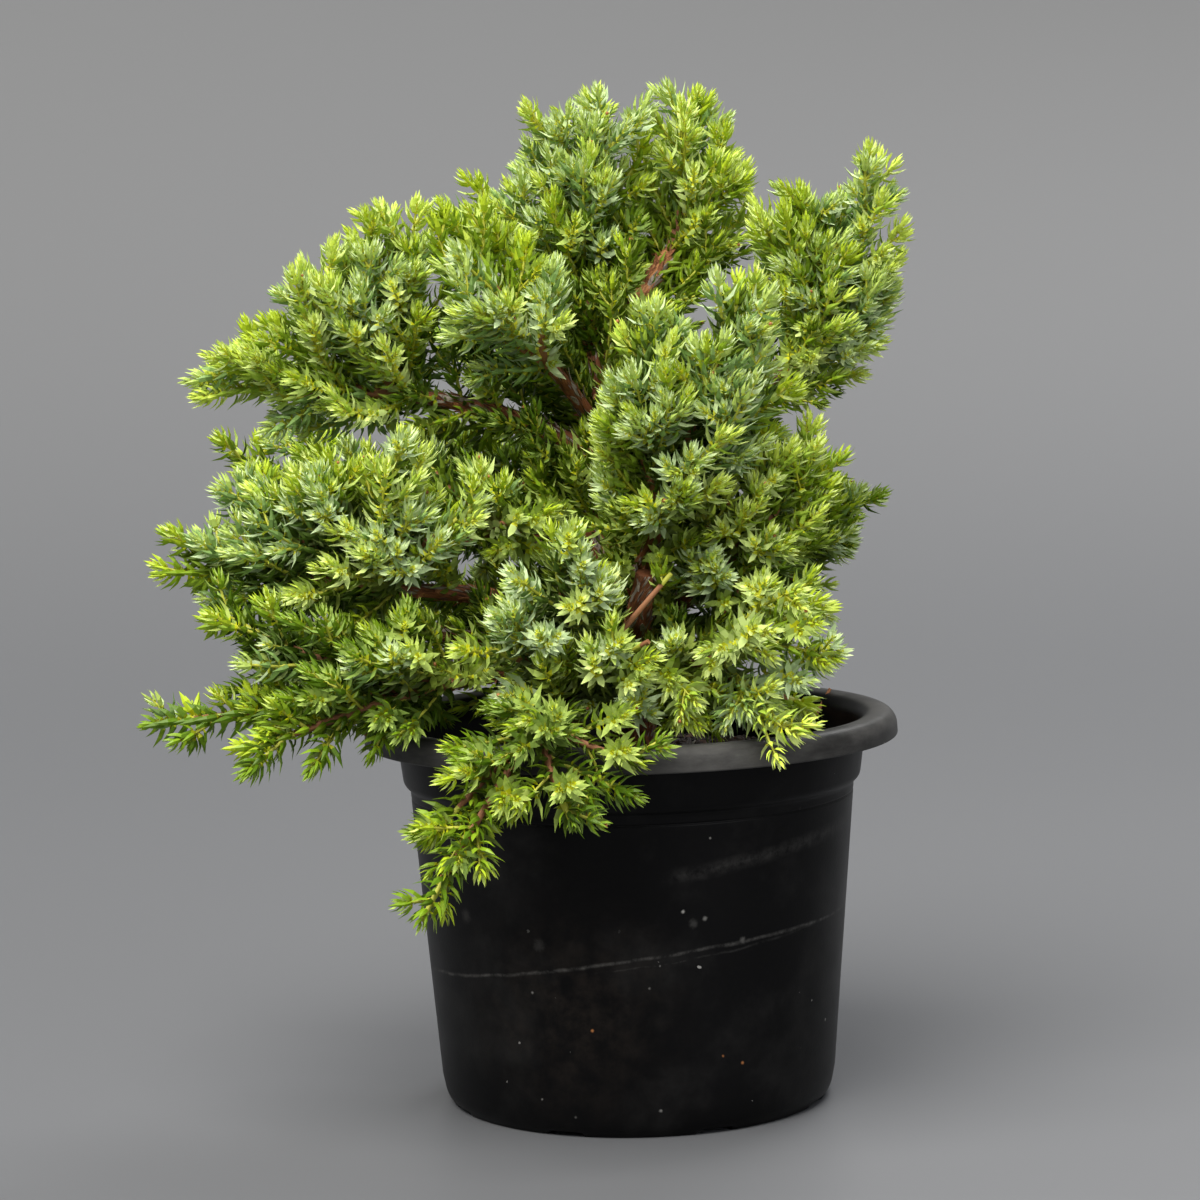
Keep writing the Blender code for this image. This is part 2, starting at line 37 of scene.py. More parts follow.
# Camera: a long lens a little above the pot, fitted to the photograph
LENS = 104.03
CAMERA_PLACE = (0.0, -0.83969, 0.20575)
CAMERA_YAW = -0.4587
CAMERA_PITCH = 5.697
CAMERA_ROLL = -1.421

# Pot, as in the solids
POT_SEGMENTS = 240
POT_HEIGHT = 94.5 * MM
FOOT_RADIUS = 45.8 * MM
WALL_FOOT_RADIUS = 48.2 * MM
WALL_TOP_RADIUS = 54.1 * MM
WALL_TOP = 76.5 * MM
NECK_RADIUS = 57.2 * MM
RIM_RADIUS = 65.0 * MM
RIM_SKIRT = 6.0 * MM
RIM_ROLL = 2.2 * MM
WALL = 1.3 * MM
FLOOR = 2.2 * MM
FOOT_CORNER = 6.0 * MM
DRAIN_NOTCHES = 8
DRAIN_WIDTH = 8.0 * MM
DRAIN_HEIGHT = 1.2 * MM
DRAIN_INNER_RADIUS = 42.0 * MM
CLOSEST_RINGS = 0.005 * MM
SOIL_TOP = 82.2 * MM
SOIL_RINGS = 42
SOIL_SEGMENTS = 150
CLEAR = 0.3 * MM

# Trunk and boughs: lengths as in the solids
TRUNK_HEIGHT = 122.5 * MM
TRUNK_LEAN = (12.0 * MM, 38.0 * MM)
TRUNK_SWAY = 25.0 * MM
TRUNK_BOW = 10.0 * MM
TRUNK_FOOT_RADIUS = 5.2 * MM
TRUNK_TIP_RADIUS = 1.8 * MM
ROOT_FLARE = 3.0 * MM
TRUNK_SIDES = 28
BOUGH_SIDES = 16
STUB_SIDES = 20
BOUGH_TIP_RADIUS = 1.6 * MM
YOUNG_BARK = (185.0 * MM, 200.0 * MM)  # heights where the bark turns young and bright

# Boughs: share of the trunk's height, then azimuth and rise in degrees, length and bow in mm, root radius in mm
BOUGHS = {
    "top": (0.72, 103, 57, 23, 1.0, 2.2),
    "right_head": (0.50, 21, 32, 60, 3.0, 2.8),
    "upper_left": (0.60, -177, 21, 45, 3.0, 2.8),
    "middle_left": (0.66, -129, 43, 22, 1.0, 2.0),
    "inner_left": (0.45, -158, 8, 24, 1.0, 2.2),
    "lower_left": (0.25, -155, 15, 58, 3.0, 2.9),
    "low_left": (0.13, -138, 9, 57, 4.0, 2.6),
    "left_under": (0.17, 167, 10, 61, 3.0, 2.5),
    "front_hang": (0.07, -110, 10, 56, 5.0, 2.6),
    "front_middle": (0.20, -104, 4, 33, 1.5, 2.2),
    "centre": (0.31, -71, 35, 36, -2.0, 2.8),
    "right_front": (0.24, -49, 26, 30, 1.0, 2.4),
    "right_rim": (0.15, -72, 14, 37, 2.0, 2.0),
    "right_back": (0.28, 48, 10, 58, 3.0, 2.5),
    "left_back": (0.40, 145, 9, 69, 3.0, 2.5),
    "right_middle": (0.42, 66, 24, 36, 2.0, 2.3),
    "back_high": (0.53, 99, 28, 35, 2.0, 2.4),
    "back_middle": (0.36, 104, 14, 49, 3.0, 2.5),
    "back_low": (0.18, 106, 6, 50, 4.0, 2.4),
}

# Foliage: each mass is a few fans from one bough's tip, or from the trunk's tip.
# A fan is azimuth and rise in degrees, then the reach of its needles and its half width in mm.
MASSES = {
    "top": [(60, 75, 59, 20), (159, 44, 48, 15), (139, 77, 56, 14)],
    "top_right": [(55, 74, 45, 18), (24, 56, 33, 11)],
    "right_head": [(12, 65, 60, 13), (91, 87, 46, 14), (11, 39, 27, 14)],
    "upper_left": [(168, 82, 49, 18), (-165, 50, 47, 17), (179, 10, 58, 17), (-172, 1, 42, 13)],
    "middle_left": [(164, 57, 48, 16), (-162, 30, 30, 13), (-93, 39, 23, 10)],
    "inner_left": [(170, 40, 34, 14), (-175, -25, 30, 13), (-80, 10, 26, 12)],
    "lower_left": [(-94, 76, 41, 13), (-168, 51, 38, 17), (159, 8, 66, 15), (167, 33, 51, 14), (-28, 44, 36, 10)],
    "low_left": [(163, -8, 82, 8), (-171, -16, 55, 11), (-157, 27, 24, 17), (168, 17, 68, 14)],
    "left_under": [(163, -24, 47, 15), (-146, -29, 20, 12)],
    "front_hang": [(-135, -45, 63, 9), (-144, -36, 48, 11), (-80, -35, 41, 12), (-39, -18, 35, 13)],
    "front_middle": [(-109, 50, 46, 17), (-136, 14, 42, 16), (-62, 18, 38, 16), (-25, 48, 38, 13)],
    "centre": [(-105, 79, 55, 14), (-4, 69, 66, 14), (-130, 67, 39, 9), (2, 48, 48, 11)],
    "right_front": [(-17, 63, 46, 12), (-3, 50, 51, 11), (-23, -8, 36, 12), (-86, 65, 32, 12)],
    "right_rim": [(-2, -18, 37, 8), (-30, 14, 36, 14), (-115, 0, 23, 12)],
    "right_back": [(26, 29, 35, 12), (21, -48, 24, 11), (75, 6, 46, 15), (60, 58, 34, 13)],
    "left_back": [(154, 17, 53, 12), (148, 36, 33, 12), (174, -11, 40, 13)],
    "right_middle": [(72, 40, 44, 16), (18, 22, 36, 13), (112, 22, 38, 14)],
    "back_high": [(108, 48, 47, 20), (41, 44, 47, 17), (158, 32, 51, 17)],
    "back_middle": [(91, 19, 43, 20), (146, 23, 52, 18), (44, 11, 49, 18)],
    "back_low": [(90, -19, 48, 18), (145, 8, 48, 19), (40, 10, 42, 15)],
}

# Growth rule: the first values are the solids' own
GOLDEN = 137.5
STEM_TIP_RADIUS = 0.7 * MM
STEM_RINGS = 5
FAN_END = 0.55
FIRST_SHOOT = 0.20
LAST_SHOOT = 0.94
SHOOT_SPACING = 10.0 * MM
SHOOT_SPLAY = (72.0, 38.0)
SHOOT_LIFT = 0.20
BETWEEN_MASSES = 0.3 * MM
OVERHANG = 1.5 * MM

# Side twigs: carried on from the shoots
STEP = 2.5 * MM  # between the points of a twig's path
SHOOTS_PER_SPACING = 2
LONGEST_SHOOT = 36.0 * MM
SIDE_SPACING = 8.0 * MM
SIDE_SPLAY = 42.0
SIDE_SHARE = 0.75  # a side twig's length, as a share of what is left of its parent
LONGEST_SIDE = 17.0 * MM
SHORTEST_TWIG = 2  # steps
TWIG_PULL = (0, 0, 0.075)  # how far a twig turns in each step: up, but for some masses
TWIG_WOBBLE = 0.045
TWIG_RADIUS = 0.55 * MM
TWIG_TIP_RADIUS = 0.28 * MM
OFF_LIMBS = 1.2 * MM
OFF_POT = 2.0 * MM

# Short leafy shoots straight on the limbs
LIMB_SHOOT_SPACING = 3.8 * MM
LIMB_SHOOT_START = 0.22
LIMB_SHOOT_STEPS = (5, 9)
LIMB_SHOOT_SPLAY = 62.0
OTHER_SHOOT_SPACINGS = {
    "trunk": 1.7 * MM, "lower_left": 9.0 * MM, "low_left": 5.0 * MM, "front_hang": 7.0 * MM, "left_under": 5.0 * MM,
}

# Needles, in whorls of three
WHORL_SPACING = 1.9 * MM
BUD_SPACING = 0.8 * MM
BUD_LENGTH = 3.0 * MM
NEEDLE_LENGTH = 5.7 * MM
NEEDLE_WIDTH = 1.65 * MM
NEEDLE_KEEL = 0.50 * MM
NEEDLE_RINGS = ((0.24, 0.88, 1.0, 0.24 * MM), (0.58, 0.80, 0.75, 0.10 * MM))  # place, width, keel and bow
NEEDLE_SPLAY = 56.0
BUD_SPLAY = 20.0
OPEN_SPLAY = 11.0  # how much wider the low sprays' whorls stand
BUD_REACH = 4.8 * MM
SHADE_DEPTH = 7.0 * MM  # needles that start deeper in their mass than this are painted dark, as shade inside the crown
HIGH_SHADE_DEPTH = 17.0 * MM
# Painted shade: the darkened needle colours are these shares of the plain ones, in red, green and blue
INNER_SHADE = (0.42, 0.44, 0.24)
MOST_NEEDLES_IN_PIECE = 15500
HIGH_YOUTH = 1.5  # how much longer the young tips of the high masses are
BUD_SHARE = 0.05  # of the twigs end in a small orange-brown bud

# Needle colours, linear: back, upper face, young back, young upper face, and the root of each needle
TINTS = {
    "blue": (
        (0.200, 0.325, 0.090), (0.480, 0.605, 0.330),
        (0.420, 0.545, 0.120), (0.590, 0.710, 0.370), (0.560, 0.590, 0.045),
    ),
    "lime": (
        (0.300, 0.430, 0.045), (0.530, 0.645, 0.220),
        (0.540, 0.670, 0.085), (0.650, 0.760, 0.250), (0.590, 0.605, 0.030),
    ),
    "leaf": (
        (0.200, 0.312, 0.014), (0.410, 0.535, 0.120),
        (0.390, 0.510, 0.022), (0.520, 0.640, 0.150), (0.540, 0.555, 0.012),
    ),
    # deep: a dark green that stands for shade inside the crown, dealt to sprays there as painted shade
    "deep": (
        (0.085, 0.160, 0.006), (0.240, 0.360, 0.070),
        (0.175, 0.290, 0.010), (0.350, 0.470, 0.100), (0.320, 0.355, 0.010),
    ),
    "dry": (
        (0.260, 0.110, 0.035), (0.380, 0.200, 0.080),
        (0.260, 0.110, 0.035), (0.380, 0.200, 0.080), (0.200, 0.080, 0.030),
    ),
}

# How often each tint comes in the sprays of a mass, in the order blue, lime, leaf and deep, the last a dark green
# painted as shade
HIGH_MIX = (4, 4, 2, 0)
PALE_MIX = (5, 2, 2, 0)
LOW_MIX = (1, 0, 4, 4)
EDGE_MIX = (3, 4, 2, 0)
BACK_MIX = (2, 1, 3, 2)
MIXES = {
    "top": HIGH_MIX, "top_right": HIGH_MIX, "right_head": HIGH_MIX, "upper_left": HIGH_MIX, "middle_left": (3, 2, 3, 0),
    "inner_left": PALE_MIX, "lower_left": PALE_MIX, "centre": PALE_MIX, "low_left": LOW_MIX, "front_hang": LOW_MIX,
    "front_middle": (2, 1, 4, 0), "right_front": EDGE_MIX, "right_rim": EDGE_MIX,
}

# How masses differ: how far open their whorls stand, how their twigs turn in each step, how far they pass their own
# space, and how many shoots they have to a spacing
OPEN_MASSES = {
    "lower_left": 0.6, "low_left": 0.8, "left_under": 0.8, "front_hang": 1.0, "front_middle": 1.0, "right_rim": 1.0,
    "right_front": 0.7, "right_back": 0.8, "back_low": 0.9, "left_back": 0.7, "back_middle": 0.5, "right_middle": 0.5,
}
PULLS = {"right_rim": (0.01, -0.055, -0.045), "front_hang": (0, 0, 0.02), "low_left": (0, 0, 0.05)}
OVERHANGS = {"right_rim": 6.0 * MM}
MORE_SHOOTS = {"right_head": 3, "top_right": 3}
HIGH_MASSES = ("top", "top_right", "right_head", "upper_left", "middle_left", "back_high")

# Gaps in the front of the crown where the limbs or the dark inside show: from, to and radius, in mm
HOLLOWS = (
    ((-4.6, -60.0, 196.0), (-4.8, -4.0, 195.0), 6.5),
    ((-8.0, -60.0, 184.5), (-8.6, -4.0, 183.0), 7.5),
    ((-11.0, -60.0, 173.0), (-11.8, -8.0, 171.5), 6.5),
    ((10.4, -60.0, 209.0), (10.9, 31.0, 209.8), 5.6),
    ((10.0, -60.0, 200.0), (10.4, 28.0, 201.0), 4.6),
    ((10.7, -60.0, 225.5), (11.0, 26.0, 225.5), 4.5),
    ((-39.5, -60.0, 130.6), (-40.5, -36.0, 128.5), 4.5),
    ((2.8, -60.0, 128.5), (3.4, -36.0, 127.0), 6.0),
    ((1.8, -60.0, 121.0), (2.0, -32.0, 120.0), 4.5),
)

# Single sprays in their own place: points in mm, tints, the reach of the young tips in mm, and the side twigs' pull.
# One leaves the right_rim bough's tip and comes down over the front of the rim, and two stand by the trunk's tip.
SPRAYS = {
    "over_rim": (
        ((11.2, -38.6, 110.4), (17, -46, 106.5), (24, -52.5, 103), (31, -58.5, 100), (37.5, -64, 96.8)),
        ("lime", "lime", "blue"), 14, (0.03, -0.02, 0.0),
    ),
    "right_of_tip": (
        ((8.5, 33.5, 200.0), (14.5, 38, 202.5), (20, 41, 207.5), (23.5, 43, 214)),
        ("leaf", "blue", "lime"), 4, TWIG_PULL,
    ),
    "behind_tip": (
        ((7.0, 34.5, 196.5), (11, 41, 199.5), (14, 46, 205), (15.5, 49, 212), (16, 50, 219)),
        ("leaf", "deep"), 3, TWIG_PULL,
    ),
}

# A thick broken stub on the front of the trunk, under peeling strips: points and radii in mm
STUB = (
    ((-1, -8, 113.0), (0.6, -19, 115.5), (2.4, -28, 120.0), (3.6, -33, 126.0), (4.4, -35, 131.5)),
    (3.6, 3.3, 3.0, 2.7, 2.1),
)

# Dead twigs that lie loose or lean in the pot: points in mm, and the radius
DEAD_TWIGS = (
    (((41, 20, 82.4), (44.5, 25, 86), (48.5, 29, 91.5), (50.6, 30.5, 95.0)), 0.75),
    (((20, -38, 82.6), (26, -36, 83.4), (33, -37, 83.0)), 0.6),
    (((-12, 30, 83.0), (-20, 33, 84.2), (-29, 31, 83.2)), 0.6),
)

# Pale rubs on the pot's front: height in mm on the axis, slope, bow, then width and left end in mm, and strength
POT_RUBS = (
    (42.7, 0.13, -0.9, 0.6, -50, 0.20),
    (40.8, 0.12, 0.2, 0.4, -10, 0.07),
    (60.8, 0.15, 0.0, 2.4, 8, 0.08),
)

# Spots of dried dirt on the pot's front: centre and radius in mm, and strength
POT_SPOTS = {
    "pale": (
        ((11.1, -51.1, 54.4), 0.6, 0.9), ((16.1, -49.5, 52.4), 0.8, 0.4), ((13.4, -50.2, 51.4), 1.5, 0.09),
        ((24.8, -45.2, 46.2), 1.2, 0.2), ((-24.4, -44.3, 34.8), 0.5, 0.5), ((-22.6, -46.4, 46.3), 2.2, 0.06),
        ((-40.0, -33.3, 51.2), 2.4, 0.05), ((4.9, -48.0, 6.9), 0.6, 0.5), ((-15.1, -45.7, 5.2), 0.5, 0.4),
        ((-22.8, -42.7, 9.0), 0.4, 0.4), ((13.6, -55.5, 79.4), 0.4, 0.5), ((2.9, -50.5, 36.5), 0.5, 0.35),
    ),
    "orange": (
        ((-10.6, -48.8, 26.4), 0.6, 0.8), ((24.3, -42.7, 16.6), 0.6, 0.7), ((19.7, -45.2, 18.9), 0.45, 0.5),
        ((38.0, -38.6, 79.6), 0.4, 0.4),
    ),
}


# Paths and the growth rule


def heading(azimuth, rise):
    a = math.radians(azimuth)
    r = math.radians(rise)
    return Vector((math.cos(a) * math.cos(r), math.sin(a) * math.cos(r), math.sin(r)))


def arc(start, middle, end, count):
    """Points along the smooth curve from start to end that leaves start towards middle."""
    shares = [i / (count - 1) for i in range(count)]
    return [(1 - t) ** 2 * start + 2 * t * (1 - t) * middle + t**2 * end for t in shares]


def trunk_point(share):
    side = math.sin(math.pi * share)
    return Vector((
        TRUNK_LEAN[0] * share - TRUNK_SWAY * share * side,
        TRUNK_LEAN[1] * share**2 - TRUNK_BOW * side,
        SOIL_TOP + CLEAR + TRUNK_HEIGHT * share,
    ))


def trunk_radius(share):
    taper = TRUNK_FOOT_RADIUS + (TRUNK_TIP_RADIUS - TRUNK_FOOT_RADIUS) * share**0.9
    return taper + ROOT_FLARE * math.exp(-share / 0.035)


def trunk_path(count=13):
    shares = [(i / (count - 1)) ** 1.3 for i in range(count)]
    return [trunk_point(s) for s in shares], [trunk_radius(s) for s in shares]


def bough_path(name, count=5):
    at, azimuth, rise, length, bow, radius = BOUGHS[name]
    root = trunk_point(at)
    tip = root + heading(azimuth, rise) * length * MM
    middle = (root + tip) / 2 + Vector((0, 0, 2 * bow * MM))
    last = count - 1
    radii = [radius * MM + (BOUGH_TIP_RADIUS - radius * MM) * i / last for i in range(count)]
    return arc(root, middle, tip, count), radii


def stem_path(name, number, count=STEM_RINGS):
    """A fan's stem, from just clear of its limb's tip, along the limb at first and then out to the fan's end."""
    azimuth, rise, reach, half_width = MASSES[name][number]
    points, radii = bough_path(name) if name in BOUGHS else trunk_path()
    onward = (points[-1] - points[-2]).normalized()
    root = points[-1] + onward * (CLEAR + number * 0.5 * MM)
    way = heading(azimuth, rise)
    end = points[-1] + way * (reach - FAN_END * half_width) * MM
    middle = root + (onward * 0.6 + way * 0.4) * reach * 0.4 * MM
    path = [root] + arc(root + onward * MM, middle, end, count)
    thick = radii[-1] - number * 0.12 * MM
    return path, [thick + (STEM_TIP_RADIUS - thick) * i / count for i in range(count + 1)]


def fan_width(name, number, share):
    return MASSES[name][number][3] * MM * (FAN_END + (1 - FAN_END) * math.sin(math.pi * share**0.8))


def strung_balls(points, radii, step):
    centres = []
    sizes = []
    for (a, ra), (b, rb) in zip(zip(points, radii), zip(points[1:], radii[1:])):
        count = max(2, math.ceil((b - a).length / step))
        for i in range(count + 1):
            t = i / count
            centres.append(a.lerp(b, t))
            sizes.append(ra + (rb - ra) * t)
    return np.array(centres), np.array(sizes)


def mass_balls(name):
    """The space of a mass: balls strung along its fans' stems."""
    parts = []
    for number in range(len(MASSES[name])):
        points, _ = stem_path(name, number)
        last = len(points) - 1
        widths = [fan_width(name, number, i / last) for i in range(len(points))]
        parts.append(strung_balls(points, widths, 3 * MM))
    return np.concatenate([p[0] for p in parts]), np.concatenate([p[1] for p in parts])


def limb_balls():
    parts = [strung_balls(*trunk_path(), 1.5 * MM)]
    parts += [strung_balls(*bough_path(name), 1.5 * MM) for name in BOUGHS]
    return np.concatenate([p[0] for p in parts]), np.concatenate([p[1] for p in parts])


def depth(points, balls):
    """How far each point lies outside the balls, below zero inside them."""
    centres, sizes = balls
    away = np.linalg.norm(points[:, None, :] - centres[None, :, :], axis=2)
    return (away - sizes).min(axis=1)


def off_pot(points):
    """Rough distance of each point from the pot's wall, rim and soil."""
    off_axis = np.hypot(points[:, 0], points[:, 1])
    high = points[:, 2]
    over = high - POT_HEIGHT
    outer = np.where(high > POT_HEIGHT - 16 * MM, RIM_RADIUS, WALL_TOP_RADIUS)
    outside = off_axis - outer
    inside = np.minimum(NECK_RADIUS - 2 * WALL - off_axis, high - SOIL_TOP)
    return np.maximum(np.maximum(over, outside), inside)


def in_hollows(points):
    """For each point, whether it lies in one of the gaps in the front of the crown."""
    found = np.zeros(len(points), bool)
    for low, high, radius in HOLLOWS:
        a = np.array(low) * MM
        way = np.array(high) * MM - a
        share = np.clip((points - a) @ way / (way @ way), 0, 1)
        found |= np.linalg.norm(points - a - share[:, None] * way, axis=1) < radius * MM
    return found


class Crown:
    def __init__(self):
        self.masses = {name: mass_balls(name) for name in MASSES}
        self.limbs = limb_balls()

    def room(self, name, points):
        """For each point, whether it lies in the mass's own space, off every limb and off the pot."""
        points = np.array(points)
        own = depth(points, self.masses[name])
        free = (own < OVERHANGS.get(name, OVERHANG)) & (depth(points, self.limbs) > OFF_LIMBS)
        free &= (off_pot(points) > OFF_POT) & (points[:, 2] > 6 * MM) & ~in_hollows(points)
        for other, balls in self.masses.items():
            if other != name:
                free &= depth(points, balls) - own > BETWEEN_MASSES
        return free

    def open_air(self, points):
        """For each point, whether it is off every limb and off the pot."""
        points = np.array(points)
        return (depth(points, self.limbs) > OFF_LIMBS / 3) & (off_pot(points) > OFF_POT) & ~in_hollows(points)


def point_along(path, share):
    place = share * (len(path) - 1)
    i = min(int(place), len(path) - 2)
    return path[i].lerp(path[i + 1], place - i), (path[i + 1] - path[i]).normalized()


def across(way, turn):
    """Unit vector at right angles to way, turned round it by so many degrees from the upper side."""
    side = way.cross(Vector((0, 0, 1)))
    if side.length < 0.1:
        side = way.cross(Vector((0, 1, 0)))
    side.normalize()
    return Quaternion(way, math.radians(turn)) @ side


class Twig:
    """A path with what its skin and needles need.

    Radii of None leave the thickness to the twig's order: 0 for a stem, 1 for its shoots, then their side twigs.
    Young is the reach of the young tip, and inner is how deep each point lies in its mass, 1 and above for needles
    darkened as painted shade.
    """

    def __init__(self, points, radii, tint, young, order, open_share=0.0):
        self.points = points
        self.radii = radii
        self.tint = tint
        self.young = young
        self.order = order
        self.open_share = open_share
        # Left at 1, as on the limbs' shoots, about half the needles take the painted shade
        self.inner = [1.0] * len(points)

    def length(self):
        return (len(self.points) - 1) * STEP


def reaching(root, way, steps, dice, pull=TWIG_PULL):
    """Path of a twig that leaves by way, turns a little towards the light and wavers."""
    points = [root]
    for _ in range(steps):
        sway = Vector([dice.uniform(-1, 1) for _ in range(3)]) * TWIG_WOBBLE
        way = (way + Vector(pull) + sway).normalized()
        points.append(points[-1] + way * STEP)
    return points


def cut_to_room(crown, name, paths):
    """Each path up to where it would leave the mass's space, or None where that is too short."""
    flat = [point for path in paths for point in path[1:]]
    free = crown.room(name, flat) if flat else []
    kept = []
    at = 0
    for path in paths:
        ahead = free[at:at + len(path) - 1]
        at += len(path) - 1
        blocked = np.flatnonzero(~ahead)
        count = int(blocked[0]) if len(blocked) else len(ahead)
        kept.append(path[:count + 1] if count >= SHORTEST_TWIG else None)
    return kept


def fan_shoots(name, number):
    """Place and direction of each shoot on a fan's stem: the solids' shoots, and the ones between them."""
    path, _ = stem_path(name, number)
    count = max(3, round(MASSES[name][number][2] * MM / SHOOT_SPACING))
    each = MORE_SHOOTS.get(name, SHOOTS_PER_SPACING)
    for part in range(each * (count - 1) + 1):
        k = part / each
        dice = random.Random(f"{name} {number} {int(k) if k == int(k) else k}")
        share = FIRST_SHOOT + (LAST_SHOOT - FIRST_SHOOT) * k / (count - 1)
        place, way = point_along(path, share)
        splay = math.radians(SHOOT_SPLAY[0] + (SHOOT_SPLAY[1] - SHOOT_SPLAY[0]) * share + dice.uniform(-6, 6))
        between = 360 * (part % each) / each
        side = across(way, k * GOLDEN + number * 60 + between + dice.uniform(-15, 15))
        out = way * math.cos(splay) + side * math.sin(splay) + Vector((0, 0, SHOOT_LIFT))
        yield place, out.normalized(), dice


def spray_tint(name, inner, dice):
    """The colour of one spray, by its mass and by how deep it lies in it: over half the sprays that end more than 5 mm
    inside the mass take the dark deep tint, as painted shade.
    """
    if inner < -5 * MM and dice.random() < 0.55:
        return "deep"
    return dice.choices(("blue", "lime", "leaf", "deep"), MIXES.get(name, BACK_MIX))[0]


def side_twigs(parent, dice, pull=TWIG_PULL):
    """Full-length side twigs of a twig, to be cut to their room."""
    count = int(parent.length() / SIDE_SPACING)
    for i in range(count):
        share = (i + 0.7) / (count + 0.4)
        place, way = point_along(parent.points, share)
        splay = math.radians(SIDE_SPLAY + dice.uniform(-8, 8))
        side = across(way, i * GOLDEN + dice.uniform(0, 40))
        out = (way * math.cos(splay) + side * math.sin(splay)).normalized()
        length = min(LONGEST_SIDE, SIDE_SHARE * (1 - share) * parent.length() + 4 * MM)
        steps = max(SHORTEST_TWIG, round(length * dice.uniform(0.8, 1.15) / STEP))
        yield reaching(place, out, steps, dice, pull)


def grow_mass(crown, name):
    """All twigs of one mass: the stems' leafy ends, the shoots on them, and two further orders of side twigs."""
    twigs = []
    open_share = OPEN_MASSES.get(name, 0.1)
    pull = PULLS.get(name, TWIG_PULL)
    youth = HIGH_YOUTH if name in HIGH_MASSES or name == "centre" else 1.0
    for number in range(len(MASSES[name])):
        path, radii = stem_path(name, number, count=16)
        hidden = np.flatnonzero(in_hollows(np.array(path)))
        first = max(len(path) // 3, int(hidden[-1]) + 1 if len(hidden) else 0)
        if first > len(path) - 3:
            continue
        tint = spray_tint(name, 0, random.Random(f"{name} {number} stem"))
        twigs.append(Twig(path[first:], radii[first:], tint, 6 * MM, 0, open_share))
    shoots = [shoot for number in range(len(MASSES[name])) for shoot in fan_shoots(name, number)]
    steps = round(LONGEST_SHOOT / STEP)
    paths = cut_to_room(crown, name, [reaching(place, way, steps, dice, pull) for place, way, dice in shoots])
    parents = []
    for (_, _, dice), path in zip(shoots, paths):
        if path:
            inner = depth(np.array([path[-1]]), crown.masses[name])[0]
            tint = spray_tint(name, inner, dice)
            parents.append((Twig(path, None, tint, dice.uniform(2, 6) * MM * youth, 1, open_share), dice))
    twigs += [twig for twig, _ in parents]
    for order in (2, 3):
        grown = [(twig, dice, path) for twig, dice in parents for path in side_twigs(twig, dice, pull)]
        paths = cut_to_room(crown, name, [path for _, _, path in grown])
        parents = [
            (Twig(path, None, twig.tint, dice.uniform(1, 4.5) * MM * youth, order, open_share), dice)
            for (twig, dice, _), path in zip(grown, paths) if path
        ]
        twigs += [twig for twig, _ in parents]
    # Painted shade: depth in the mass as a share of the shade depth, 1 and above for darkened needles; the high masses
    # get less of it
    painted_shade = HIGH_SHADE_DEPTH if name in HIGH_MASSES else SHADE_DEPTH
    for twig in twigs:
        twig.inner = list(-depth(np.array(twig.points), crown.masses[name]) / painted_shade)
    return twigs


def grow_spray(name):
    """One spray along its own path, with side twigs."""
    points, tints, young, pull = SPRAYS[name]
    path = [Vector(point) * MM for point in points]
    long = sum((b - a).length for a, b in zip(path, path[1:]))
    count = round(long / STEP)
    dice = random.Random("spray " + name)
    main_twig = Twig([point_along(path, i / count)[0] for i in range(count + 1)], None, tints[0], young * MM, 1, 1.0)
    found = [main_twig]
    for side_path in side_twigs(main_twig, dice, pull):
        blocked = np.flatnonzero(off_pot(np.array(side_path)) < OFF_POT)
        side_path = side_path[:int(blocked[0])] if len(blocked) else side_path
        if len(side_path) > SHORTEST_TWIG:
            found.append(Twig(side_path, None, dice.choice(tints), 5 * MM, 2, 1.0))
    for twig in found:
        twig.inner = [0.0] * len(twig.points)
    return found


def grow_on_limb(crown, name):
    """Short leafy shoots on one bough, or on the upper trunk where name is trunk."""
    points, _ = trunk_path(24) if name == "trunk" else bough_path(name, 12)
    long = sum((b - a).length for a, b in zip(points, points[1:]))
    count = int(long / OTHER_SHOOT_SPACINGS.get(name, LIMB_SHOOT_SPACING))
    found = []
    for k in range(count):
        dice = random.Random(f"{name} limb {k}")
        share = LIMB_SHOOT_START + (1 - LIMB_SHOOT_START) * (k + 0.5) / count
        place, way = point_along(points, share)
        side = across(way, k * GOLDEN + dice.uniform(-20, 20))
        splay = math.radians(LIMB_SHOOT_SPLAY)
        out = way * math.cos(splay) + side * math.sin(splay) + Vector((0, 0, 0.25))
        steps = dice.randint(*LIMB_SHOOT_STEPS) + (3 if name == "trunk" else 0)
        path = reaching(place, out.normalized(), steps, dice)
        free = crown.open_air(path)
        free[:3] = ~in_hollows(np.array(path[:3]))
        blocked = np.flatnonzero(~free)
        path = path[:int(blocked[0])] if len(blocked) else path
        if len(path) > SHORTEST_TWIG + 1:
            # Painted shade: the limbs' shoots lie inside the crown, so a third take the dark deep tint, and their inner
            # of 1 darkens about half their needles
            tint = "dry" if dice.random() < 0.03 else dice.choice(("deep", "leaf", "leaf"))
            shoot = Twig(path, None, tint, dice.uniform(1, 5) * MM, 2)
            found.append(shoot)
            for side_path in side_twigs(shoot, dice):
                if crown.open_air(side_path).all():
                    found.append(Twig(side_path, None, tint, 2 * MM, 3))
    return found


# Node tools


def add(tree, kind, inputs=None, **settings):
    """A node with its settings, its inputs set to values or linked to sockets."""
    made = tree.nodes.new(kind)
    for key, value in settings.items():
        setattr(made, key, value)
    for key, value in (inputs or {}).items():
        if isinstance(value, bpy.types.NodeSocket):
            tree.links.new(value, made.inputs[key])
        else:
            made.inputs[key].default_value = value
    return made


